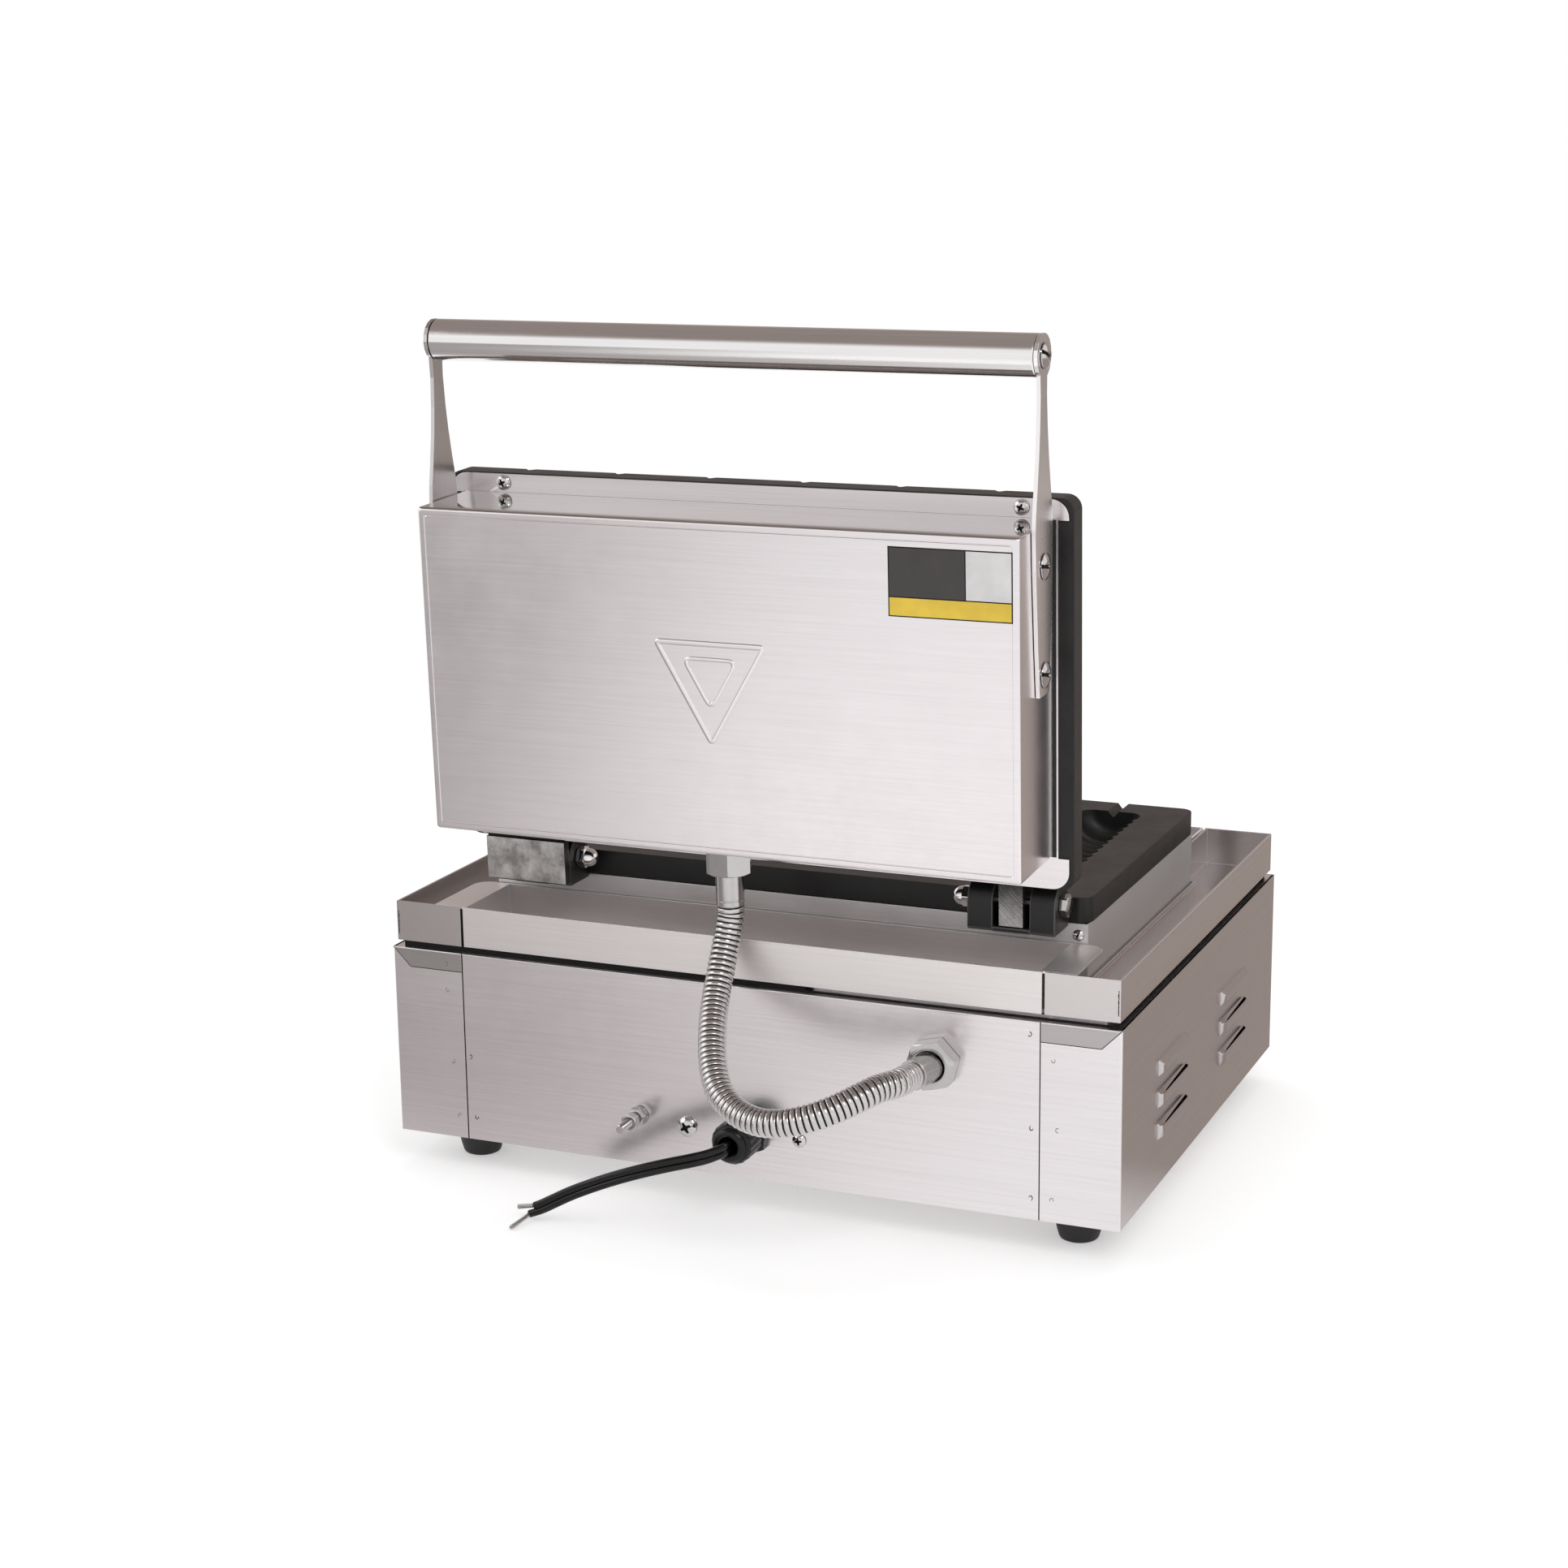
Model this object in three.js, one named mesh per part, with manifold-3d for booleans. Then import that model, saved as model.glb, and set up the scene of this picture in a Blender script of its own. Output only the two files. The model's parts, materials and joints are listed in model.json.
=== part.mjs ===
// Corn dog maker: a countertop cooker with two moulded hot plates and a hinged lid, shown open.
// Millimetres, +Z up. The front is -Y, the rear is +Y. X = 0 is the middle of the base.
// Base pieces are placed from the middle of the casing, at the height of the floor.
// Lid pieces are placed in the closed lid's own frame: origin on the hinge axis,
// +Y to the rear, +Z up, so the lid reaches along -Y. One turned group then opens it.

import * as THREE from 'three';
import { mergeVertices } from 'three/addons/utils/BufferGeometryUtils.js';
import Module from 'manifold-3d';

const wasm = await Module();
wasm.setup();

// Shared values

const gap = 0.3;
const overrun = 2;
const weld = 0.0001;
const sheet = 1.2;
const roundSegments = 18;
const boreSegments = 14;
const smallSegments = 10;

// Driving dimensions of the base

const casing = {
  width: 410, depth: 307, height: 104.8, returnWidth: 42.2,
  stripHeight: 10.3, stripMitre: 10.6, bend: 1.5,
};
const foot = {
  height: 20, topRadius: 13.2, bottomRadius: 12.2, sideInset: 31.5, endInset: 34,
  recessRadius: 4.5, recessDepth: 6,
};
const floorPan = { lip: 12 };
const deck = { padHeight: 2.9, padInset: 11, holeSideInset: 60, holeEndInset: 73.5 };
const louvre = { length: 54, height: 8, reach: 3.4, edge: 0.5, skin: 1, slit: 3.6, taper: 7 };
const louvreRows = { count: 3, pitch: 17.3, topBelowCasing: 36.6, rearColumn: 60.6, frontColumn: -62 };

const plate = {
  sideInset: 34.5, frontInset: 53.5, thickness: 13.4, corner: 7, cornerSteps: 4, rearFromAxis: 12.5,
};
const heaterBox = { sideInset: 1, height: 31.95, floorHoleWidth: 90, floorHoleDepth: 96 };
const tray = { sideInset: 2, endInset: 2.5, height: 21.8, sheet: 1.2, lip: 3, clearance: 1.2 };
const dripPanSize = { inset: 8 };
const panTab = { reach: 17.5, corner: 9, sheet: 1.2 };

const mould = {
  count: 6, sideMargin: 41.5, halfWidth: 17.6, depth: 15.5, frontMargin: 20, rearMargin: 25.5,
  wall: 3.2, bluntness: 5, segments: 12, plainSteps: 6, ribCount: 8, ribDepth: 1.7,
};
const stick = { halfWidth: 3.2, depth: 3.4, length: 30 };

const hinge = {
  rearInset: 43.5, sideInset: 34.5, halfWidth: 23.4, slotHalfWidth: 9.7, radius: 11,
  barThickness: 2.6, clearance: 0.4, roundSteps: 8,
};
const lug = { halfWidth: 6.4, radius: 10.5, rearFace: 11, neck: 7.4, roundSteps: 6 };
const stopBlock = { front: 11.5, rear: 17, drop: 11, rise: 12.2 };
const bolt = {
  radius: 3, headAcross: 10.5, headHeight: 4.2, headChamfer: 0.8, nutAcross: 10.5, nutHeight: 5,
  nutChamfer: 0.6, domeRadius: 5, shankPast: 6,
};

// Driving dimensions of the lid, each inset from the plate that carries it

const openDegrees = 92;
const parting = 1.35;
const cover = { sideInset: 9.9, rearInset: 18.1, frontInset: 10, top: 67.4, edge: 2.6, cornerSteps: 3 };
const frame = {
  sideInset: 2.1, frontInset: 0.5, rearInset: 0.9, bandFront: 10.2, bandRear: 16, sheet: 1.2,
  corner: 9, notch: 5.6, wallHeight: 12, wallSideInset: 4.6, wallFrontInset: 6, wallRearInset: 5.4,
};
const arm = { sheet: 2, height: 37.5, startInset: 92, halfWidth: 13.2 };
// Each pair is a share of the arm's length, from its lower end to the tube, and of its widest half width.
const armShares = [
  [0, 0.56], [0.154, 0.742], [0.387, 0.955], [0.491, 1], [0.553, 0.924], [0.627, 0.742],
  [0.713, 0.56], [0.792, 0.44], [0.885, 0.364], [0.946, 0.394],
];
const tube = { radius: 10.6, wall: 1.6, pastPlate: 70.8, height: 36.6, plug: 14, bore: 3.4 };

// Screws with domed heads

const armScrew = {
  radius: 2.5, headRadius: 6.5, headHeight: 2.2, upperInset: 29, lowerInset: 82, shank: 5,
};
const tubeScrew = { radius: 3, headRadius: 6.5, headHeight: 2.4, shank: 11 };
const frameScrew = {
  radius: 2, headRadius: 4, headHeight: 2.4, shank: 6, sideInset: 29.3, offset: -3.4, frontInset: 5,
};
const boxScrew = { headRadius: 3, headHeight: 1.6, radius: 1.4, shank: 4, sideInset: 5, below: 6 };
const wideScrew = { x: 31, height: 44.4, headRadius: 5.4, headHeight: 3.1, radius: 2.4, shank: 7 };
const smallScrew = { x: -32.8, height: 45.2, headRadius: 3.7, headHeight: 2.4, radius: 1.9, shank: 6 };

// Heating elements

const element = { radius: 3.2, inset: 14, bend: 12, tail: 12, steps: 44, sides: 6 };

// Fittings on the rear panel and the hose between base and lid

const gland = {
  x: -4, height: 47, flangeAcross: 22.6, flangeHeight: 5, flangeChamfer: 1.5, bodyRadius: 9.8,
  bodyLength: 3, capRadius: 11.4, capLength: 18.4, rounding: 3,
};
const cord = { radius: 3.75, steps: 24, sides: 8, wireRadius: 0.9 };
const stud = {
  x: 59, height: 47, radius: 2.4, length: 23.6, flangeRadius: 5.4, washerThickness: 1,
  nutAcross: 8.4, nutChamfer: 0.55, innerNut: 4.2, outerNut: 4.6, spacing: 3,
};
const hose = {
  x: -107.5, height: 97.5, radius: 7.4, grooveRadius: 6.6, bore: 5.2, ribCount: 75, ribsPerBoreRing: 5,
  around: 8, sleeveRadius: 7.6, sleeveLength: 18.4, sleeveAcross: 2.1, sleeveUp: 1.2,
  nutAcross: 24, nutHeight: 9.5, nutChamfer: 1.6, nutTurnDegrees: 44,
};
const lidFitting = {
  x: 2, height: 48, across: 22.4, length: 14.2, ferruleRadius: 7.3, ferruleLength: 17,
  chamfer: 0.8, turnDegrees: 39,
};

// Front panel and what is behind it

const knob = {
  across: 92, height: 74, radius: 19, length: 17, skirtRadius: 22, skirt: 4, shaftRadius: 3, pointer: 1.6,
};
const control = { width: 44, depth: 26, height: 34, post: 6, collarRadius: 7.2 };
const lamp = {
  across: 17, height: 88, radius: 5.6, bezelRadius: 7.6, bezel: 2.2, lensRadius: 4.5, dome: 3, body: 16,
};
const terminal = { x: 30, fromRear: 46, width: 58, depth: 22, height: 17, ways: 5, slot: 5.5 };
const bulb = { radius: 3, length: 60, tubeRadius: 1.2, bend: 12, steps: 30, sides: 6 };

// Heights, from the floor up

const radians = THREE.MathUtils.degToRad;
const halfWidth = casing.width / 2;
const halfDepth = casing.depth / 2;
const casingTop = foot.height + casing.height;
const trayBottom = casingTop + deck.padHeight + gap;
const rimTop = trayBottom + tray.height;
const boxBottom = trayBottom;
const boxTop = boxBottom + heaterBox.height;
const plateBottom = boxTop + gap;
const plateTop = plateBottom + plate.thickness;
const axisHeight = plateTop - parting + hinge.clearance;

// Places seen from above

const seam = halfWidth - casing.returnWidth;
const rearFace = halfDepth;
const frontFace = -halfDepth;
const axisFromCentre = halfDepth - hinge.rearInset;
const plateHalfWidth = halfWidth - plate.sideInset;
const mouldPitch = 2 * (plateHalfWidth - mould.sideMargin) / (mould.count - 1);
const hingeCentre = plateHalfWidth - hinge.sideInset;
const plateDepth = axisFromCentre - plate.rearFromAxis + halfDepth - plate.frontInset;
const mouldLength = plateDepth - mould.frontMargin - mould.rearMargin;
const plateRear = axisFromCentre - plate.rearFromAxis;
const plateFront = plateRear - plateDepth;
const plateMiddle = (plateFront + plateRear) / 2;
const boxHalfWidth = plateHalfWidth - heaterBox.sideInset;
const panHalfWidth = plateHalfWidth - dripPanSize.inset;
const trayHalfWidth = halfWidth - tray.sideInset;
const trayHalfDepth = halfDepth - tray.endInset;

// Places on the closed lid, as distances from the hinge axis

const plateReach = plate.rearFromAxis + plateDepth;
const armFrom = plateReach - arm.startInset;
const armScrewAlong = { upper: plateReach - armScrew.upperInset, lower: plateReach - armScrew.lowerInset };
const tubeAlong = plateReach + tube.pastPlate;
const frameHalfWidth = plateHalfWidth - frame.sideInset;
const frameFront = plateReach - frame.frontInset;
const frameRear = plate.rearFromAxis + frame.rearInset;
const frameBottom = parting + plate.thickness + gap;
const frameTop = frameBottom + frame.sheet;
const coverHalfWidth = plateHalfWidth - cover.sideInset;
const coverFront = plateReach - cover.frontInset;
const coverRear = plate.rearFromAxis + cover.rearInset;
const frameScrewAcross = plateHalfWidth - frameScrew.sideInset;
const frameScrewAlong = plateReach - frameScrew.frontInset;

// Materials

function metal(color, roughness, metalness = 1) {
  return new THREE.MeshStandardMaterial({ color, roughness, metalness });
}

const steel = metal(0xd6d1cf, 0.3);
const brushed = metal(0xc9c3c0, 0.42);
const polished = metal(0xe2dedc, 0.14);
const castBlack = metal(0x3a3635, 0.62, 0.35);
const rubber = metal(0x1d1c1c, 0.85, 0);
const blackPlastic = metal(0x161616, 0.45, 0);
const redLens = metal(0xb41f1a, 0.2, 0);
const greenLens = metal(0x1f8a3a, 0.2, 0);
const ceramic = metal(0xe8e2d4, 0.6, 0);

// Geometry helpers

function at(x, y, z) {
  return new THREE.Vector3(x, y, z);
}

const toRear = at(0, 1, 0);
const toFront = at(0, -1, 0);
const up = at(0, 0, 1);
const down = at(0, 0, -1);

function solidOf(geometry) {
  let g = geometry.clone();
  g.deleteAttribute('normal');
  g.deleteAttribute('uv');
  g = mergeVertices(g, weld);
  const vertProperties = Float32Array.from(g.attributes.position.array);
  const triVerts = Uint32Array.from(g.index.array);
  return new wasm.Manifold(new wasm.Mesh({ numProp: 3, vertProperties, triVerts }));
}

function geometryOf(solid) {
  const mesh = solid.getMesh();
  const g = new THREE.BufferGeometry();
  g.setAttribute('position', new THREE.BufferAttribute(Float32Array.from(mesh.vertProperties), 3));
  g.setIndex(new THREE.BufferAttribute(Uint32Array.from(mesh.triVerts), 1));
  return g;
}

function joined(...solids) {
  return solids.reduce((sum, solid) => sum.add(solid));
}

function slab(x0, x1, y0, y1, z0, z1) {
  const g = new THREE.BoxGeometry(Math.abs(x1 - x0), Math.abs(y1 - y0), Math.abs(z1 - z0));
  g.translate((x0 + x1) / 2, (y0 + y1) / 2, (z0 + z1) / 2);
  return solidOf(g);
}

// A lathe solid whose profile of [radius, distance] points runs along a direction from a point.
function turned(profile, from, direction, segments = roundSegments) {
  const points = profile.map(([radius, along]) => new THREE.Vector2(radius, along));
  const g = new THREE.LatheGeometry(points, segments);
  const turn = new THREE.Quaternion().setFromUnitVectors(toRear, direction.clone().normalize());
  g.applyQuaternion(turn);
  g.translate(from.x, from.y, from.z);
  return solidOf(g);
}

function rod(radius, length, from, direction, segments = roundSegments) {
  return turned([[0, 0], [radius, 0], [radius, length], [0, length]], from, direction, segments);
}

function ring(outer, inner, length, from, direction, segments = roundSegments) {
  const profile = [[inner, 0], [outer, 0], [outer, length], [inner, length], [inner, 0]];
  return turned(profile, from, direction, segments);
}

// A hexagon of a given width across flats, with its rim turned down at the far end.
function hexagon(across, height, chamfer, from, direction, turnDegrees = 0) {
  const corner = across / Math.sqrt(3);
  const prism = new THREE.CylinderGeometry(corner, corner, height, 6);
  prism.translate(0, height / 2, 0);
  prism.rotateY(radians(turnDegrees));
  const rim = [[0, -overrun], [corner + chamfer, -overrun], [corner + chamfer, height - chamfer],
    [corner - chamfer, height], [0, height]];
  const cone = turned(rim, new THREE.Vector3(), toRear);
  const g = geometryOf(solidOf(prism).intersect(cone));
  const turn = new THREE.Quaternion().setFromUnitVectors(toRear, direction.clone().normalize());
  g.applyQuaternion(turn);
  g.translate(from.x, from.y, from.z);
  return solidOf(g);
}

function shapeOf(points) {
  return new THREE.Shape(points.map(([x, y]) => new THREE.Vector2(x, y)));
}

// A flat outline in the XY plane, raised from z0 to z1.
function raised(shape, z0, z1, curveSegments = 5) {
  const g = new THREE.ExtrudeGeometry(shape, { depth: z1 - z0, bevelEnabled: false, curveSegments });
  g.translate(0, 0, z0);
  return solidOf(g);
}

// An outline of (y, z) points, extruded along X from x0 to x1.
function acrossX(points, x0, x1) {
  const low = Math.min(x0, x1);
  const g = new THREE.ExtrudeGeometry(shapeOf(points), { depth: Math.abs(x1 - x0), bevelEnabled: false });
  g.rotateY(Math.PI / 2);
  g.rotateX(Math.PI / 2);
  g.translate(low, 0, 0);
  return solidOf(g);
}

// An outline of (x, z) points, extruded along Y from y0 to y1.
function acrossY(points, y0, y1) {
  const high = Math.max(y0, y1);
  const g = new THREE.ExtrudeGeometry(shapeOf(points), { depth: Math.abs(y1 - y0), bevelEnabled: false });
  g.rotateX(Math.PI / 2);
  g.translate(0, high, 0);
  return solidOf(g);
}

function roundedRectangle(x0, x1, y0, y1, radius) {
  const shape = new THREE.Shape();
  shape.moveTo(x0 + radius, y0);
  shape.lineTo(x1 - radius, y0);
  shape.absarc(x1 - radius, y0 + radius, radius, -Math.PI / 2, 0, false);
  shape.lineTo(x1, y1 - radius);
  shape.absarc(x1 - radius, y1 - radius, radius, 0, Math.PI / 2, false);
  shape.lineTo(x0 + radius, y1);
  shape.absarc(x0 + radius, y1 - radius, radius, Math.PI / 2, Math.PI, false);
  shape.lineTo(x0, y0 + radius);
  shape.absarc(x0 + radius, y0 + radius, radius, Math.PI, 1.5 * Math.PI, false);
  return shape;
}

// The scene: the base group, and the lid group turned open about the hinge axis

const object = new THREE.Group();
const base = new THREE.Group();
const lidGroup = new THREE.Group();
lidGroup.position.set(0, axisFromCentre, axisHeight);
lidGroup.rotation.x = -radians(openDegrees);
object.add(base);
object.add(lidGroup);

function add(group, name, solid, material) {
  const mesh = new THREE.Mesh(geometryOf(solid), material);
  mesh.name = name;
  group.add(mesh);
}

const sides = [{ name: 'left', sign: -1 }, { name: 'right', sign: 1 }];
const ends = [{ name: 'front', sign: -1 }, { name: 'rear', sign: 1 }];

// Feet

for (const side of sides) {
  for (const end of ends) {
    const x = side.sign * (halfWidth - foot.sideInset);
    const y = end.sign * (halfDepth - foot.endInset);
    const height = foot.height - gap;
    const rim = [foot.recessRadius, foot.recessDepth];
    const profile = [rim, [foot.recessRadius, 0], [foot.bottomRadius, 0], [foot.topRadius, height],
      [0, height], [0, foot.recessDepth], rim];
    add(base, `foot_${end.name}_${side.name}`, turned(profile, at(x, y, 0), up), rubber);
  }
}

// Bottom pan of the casing

const inside = { x: halfWidth - sheet - gap, y: halfDepth - sheet - gap };

function bottomPan() {
  const lipTop = foot.height + floorPan.lip;
  const x = inside.x - sheet;
  const y = inside.y - sheet;
  const outer = slab(-inside.x, inside.x, -inside.y, inside.y, foot.height, lipTop);
  return outer.subtract(slab(-x, x, -y, y, foot.height + sheet, lipTop + overrun));
}
add(base, 'bottom_pan', bottomPan(), brushed);

// The deck's corner strip on each return, as an outline in (x, z), grown by a margin
function cornerStrip(sign, margin) {
  const top = casingTop + margin;
  const bottom = casingTop - casing.stripHeight - margin;
  const inner = seam + gap - margin;
  const mitre = halfWidth - casing.stripMitre + margin;
  const points = [[inner, bottom], [mitre, bottom], [halfWidth + margin, top], [inner, top]];
  const placed = points.map(([x, z]) => [sign * x, z]);
  return sign > 0 ? placed : placed.reverse();
}

// Side panels: a wall with a return at each end, pressed louvres, and room for the deck's corner strips

function louvreHood(sign, y, top) {
  const wall = halfWidth;
  const low = top - louvre.height;
  const outer = wall + louvre.reach;
  const back = wall - sheet / 2;
  const points = [[back, top], [wall, top], [outer, low + louvre.edge], [outer, low], [back, low]];
  const placed = sign > 0 ? points : points.map(([x, z]) => [-x, z]).reverse();
  const half = louvre.length / 2;
  const hood = acrossY(placed, y - half, y + half);
  const endCut = side => {
    const tip = y + side * half;
    const shoulder = tip - side * (louvre.taper + overrun);
    const face = sign * wall;
    const past = sign * (outer + overrun);
    const corners = [[face, tip], [past, tip], [past, shoulder]];
    const shape = shapeOf(side * sign > 0 ? corners : corners.slice().reverse());
    return raised(shape, low - overrun, top + overrun);
  };
  return hood.subtract(endCut(1)).subtract(endCut(-1));
}

function sidePanel(sign) {
  const x = halfWidth;
  const inner = x - sheet;
  const y = halfDepth;
  const b = casing.bend;
  const points = [[seam + gap, -y], [x - b, -y], [x, -y + b], [x, y - b], [x - b, y], [seam + gap, y],
    [seam + gap, y - sheet], [inner, y - sheet], [inner, -y + sheet], [seam + gap, -y + sheet]];
  const placed = sign > 0 ? points : points.map(([px, py]) => [-px, py]).reverse();
  let panel = raised(shapeOf(placed), foot.height, casingTop);
  for (const end of ends) {
    const near = end.sign * (y - sheet - overrun);
    const far = end.sign * (y + overrun);
    panel = panel.subtract(acrossY(cornerStrip(sign, gap), near, far));
  }
  for (let row = 0; row < louvreRows.count; row++) {
    const top = casingTop - louvreRows.topBelowCasing - row * louvreRows.pitch;
    for (const column of [louvreRows.rearColumn, louvreRows.frontColumn]) {
      const half = louvre.length / 2 - louvre.taper;
      const low = top - louvre.height;
      const slit = slab(sign * (inner - overrun), sign * (x + louvre.reach - louvre.skin),
        column - half, column + half, low - overrun, low + louvre.slit);
      panel = panel.add(louvreHood(sign, column, top)).subtract(slit);
    }
  }
  return panel;
}
for (const side of sides) {
  add(base, `side_panel_${side.name}`, sidePanel(side.sign), steel);
}

// Rear and front panels, between the side panels' returns

function endPanel(sign) {
  const x = seam - gap;
  return slab(-x, x, sign * (halfDepth - sheet), sign * halfDepth, foot.height, casingTop);
}

function throughRear(radius, x, height) {
  return rod(radius + gap, sheet + 2 * overrun, at(x, rearFace - sheet - overrun, height), toRear);
}

function throughFront(radius, x, height) {
  return rod(radius + gap, sheet + 2 * overrun, at(x, frontFace + sheet + overrun, height), toFront);
}

let rearPanel = endPanel(1);
rearPanel = rearPanel.subtract(throughRear(hose.sleeveRadius, hose.x, hose.height));
rearPanel = rearPanel.subtract(throughRear(gland.bodyRadius, gland.x, gland.height));
rearPanel = rearPanel.subtract(throughRear(stud.radius, stud.x, stud.height));
rearPanel = rearPanel.subtract(throughRear(wideScrew.radius, wideScrew.x, wideScrew.height));
rearPanel = rearPanel.subtract(throughRear(smallScrew.radius, smallScrew.x, smallScrew.height));
add(base, 'rear_panel', rearPanel, steel);

const knobs = [{ name: 'thermostat', x: knob.across }, { name: 'timer', x: -knob.across }];
const lamps = [
  { name: 'power', x: -lamp.across, material: greenLens },
  { name: 'heating', x: lamp.across, material: redLens },
];

let frontPanel = endPanel(-1);
for (const one of knobs) {
  frontPanel = frontPanel.subtract(throughFront(knob.shaftRadius, one.x, knob.height));
}
for (const one of lamps) {
  frontPanel = frontPanel.subtract(throughFront(lamp.radius, one.x, lamp.height));
}
add(base, 'front_panel', frontPanel, steel);

// Deck: the casing's top sheet, its raised seat for the trays, and the mitred strips at its corners

function topDeck() {
  const low = casingTop - sheet;
  const padX = halfWidth - deck.padInset;
  const padY = halfDepth - deck.padInset;
  const padTop = casingTop + deck.padHeight;
  let solid = slab(-inside.x, inside.x, -inside.y, inside.y, low, casingTop);
  solid = solid.add(slab(-padX, padX, -padY, padY, low, padTop));
  for (const side of sides) {
    for (const end of ends) {
      const strip = cornerStrip(side.sign, 0);
      solid = solid.add(acrossY(strip, end.sign * (halfDepth - sheet), end.sign * halfDepth));
      solid = solid.add(slab(side.sign * (seam + gap), side.sign * (inside.x - casing.bend),
        end.sign * (inside.y - sheet), end.sign * (halfDepth - sheet / 2), low, casingTop));
    }
  }
  const x = halfWidth - deck.holeSideInset;
  const y = halfDepth - deck.holeEndInset;
  return solid.subtract(slab(-x, x, -y, y, low - overrun, padTop + overrun));
}
add(base, 'top_deck', topDeck(), steel);

// Drip trays round the heater box

const trayRear = plateRear + tray.clearance;
const trayFront = plateFront - tray.clearance;
const cornerX = panHalfWidth + gap + tray.sheet;
const channelX = boxHalfWidth + gap + tray.sheet / 2;

function sideTray(sign) {
  const z0 = trayBottom;
  const t = tray.sheet;
  const lipTop = z0 + tray.lip;
  const s = value => sign * value;
  const pieces = [
    slab(s(channelX), s(trayHalfWidth), -trayHalfDepth, trayHalfDepth, z0, z0 + t),
    slab(s(trayHalfWidth - t), s(trayHalfWidth), -trayHalfDepth, trayHalfDepth, z0, rimTop),
    slab(s(channelX), s(channelX + t), trayFront - t, trayRear + t, z0, lipTop),
  ];
  for (const end of ends) {
    const inner = end.sign > 0 ? trayRear : trayFront;
    const outer = end.sign * trayHalfDepth;
    const wallTop = end.sign > 0 ? rimTop - panTab.sheet - gap : rimTop;
    pieces.push(slab(s(cornerX), s(channelX + t), inner, outer, z0, z0 + t));
    pieces.push(slab(s(cornerX), s(trayHalfWidth), outer - end.sign * t, outer, z0, rimTop));
    pieces.push(slab(s(cornerX), s(cornerX + t), inner, outer, z0, wallTop));
    pieces.push(slab(s(cornerX), s(channelX + t), inner, inner + end.sign * t, z0, lipTop));
  }
  return joined(...pieces);
}
for (const side of sides) {
  add(base, `side_tray_${side.name}`, sideTray(side.sign), steel);
}

// A tab with one rounded corner at the end of the rear pan's rim, resting on the side tray
function panTabSolid(sign, low, high) {
  const root = panHalfWidth - tray.sheet;
  const tip = panHalfWidth + panTab.reach;
  const r = panTab.corner;
  const shape = new THREE.Shape();
  shape.moveTo(root, low);
  shape.lineTo(tip - r, low);
  shape.absarc(tip - r, low + r, r, -Math.PI / 2, 0, false);
  shape.lineTo(tip, high);
  shape.lineTo(root, high);
  const tab = raised(shape, rimTop - panTab.sheet, rimTop);
  return sign > 0 ? tab : tab.mirror([1, 0, 0]);
}

function dripPan(sign) {
  const x = panHalfWidth;
  const t = tray.sheet;
  const near = sign > 0 ? trayRear : trayFront;
  const far = sign * trayHalfDepth;
  const outer = slab(-x, x, near, far, trayBottom, rimTop);
  const hollow = slab(-x + t, x - t, near + sign * t, far - sign * t, trayBottom + t, rimTop + overrun);
  return outer.subtract(hollow);
}

function rearDripPan() {
  const high = trayHalfDepth - tray.sheet - gap;
  return joined(dripPan(1), ...sides.map(side => panTabSolid(side.sign, trayRear, high)));
}
add(base, 'rear_drip_pan', rearDripPan(), steel);
add(base, 'front_drip_pan', dripPan(-1), steel);

// Lower heater box: four walls and a floor with a hole for the wires

const boxScrewX = -boxHalfWidth + boxScrew.sideInset;
const boxScrewHeight = boxTop - boxScrew.below;

function lowerHeaterBox() {
  const x = boxHalfWidth;
  const t = sheet;
  const outer = slab(-x, x, plateFront, plateRear, boxBottom, boxTop);
  const hollow = slab(-x + t, x - t, plateFront + t, plateRear - t, boxBottom + t, boxTop + overrun);
  const holeX = heaterBox.floorHoleWidth / 2;
  const holeY = heaterBox.floorHoleDepth / 2;
  const hole = slab(-holeX, holeX, plateMiddle - holeY, plateMiddle + holeY,
    boxBottom - overrun, boxBottom + t + overrun);
  const screwFrom = at(boxScrewX, plateRear - t - overrun, boxScrewHeight);
  const screwHole = rod(boxScrew.radius + gap, t + 2 * overrun, screwFrom, toRear, smallSegments);
  return outer.subtract(hollow).subtract(hole).subtract(screwHole);
}
add(base, 'lower_heater_box', lowerHeaterBox(), brushed);

// A screw with a domed head: the shank runs against the head's direction.
const shoulderShare = 0.35;
const crownShare = 0.65;

function screw(kind, from, direction) {
  const profile = [[0, -kind.shank], [kind.radius, -kind.shank], [kind.radius, 0], [kind.headRadius, 0],
    [kind.headRadius, kind.headHeight * shoulderShare], [kind.headRadius * crownShare, kind.headHeight],
    [0, kind.headHeight]];
  return turned(profile, from, direction, smallSegments);
}

const onBox = at(boxScrewX, plateRear + gap, boxScrewHeight);
add(base, 'heater_box_screw', screw(boxScrew, onBox, toRear), polished);

// Mould plates. Each is worked out face up: z = 0 is the mating face, y = 0 is its rear edge,
// and the plate runs to -y.

// One ribbed cavity as a turned form, its middle on the mating face
function cavityForm(grow, ribbed) {
  const half = mouldLength / 2 + grow;
  const points = [[0, -half]];
  const steps = ribbed ? 2 * mould.ribCount : mould.plainSteps;
  for (let i = 1; i < steps; i++) {
    const share = i / steps;
    const along = -half + share * 2 * half;
    const bulge = Math.sqrt(1 - Math.pow(Math.abs(along) / half, mould.bluntness));
    const rib = ribbed && i % 2 === 0 && i > 1 && i < steps - 1 ? mould.ribDepth : 0;
    points.push([(mould.halfWidth + grow) * bulge - rib, along]);
  }
  points.push([0, half]);
  return points;
}

const cavityMiddle = -(plateDepth - mould.frontMargin - mouldLength / 2);

function cavity(x, grow, ribbed) {
  const solid = turned(cavityForm(grow, ribbed), at(0, 0, 0), toRear, mould.segments);
  const flat = (mould.depth + grow) / (mould.halfWidth + grow);
  return solid.scale([1, 1, flat]).translate([x, cavityMiddle, 0]);
}

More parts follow.
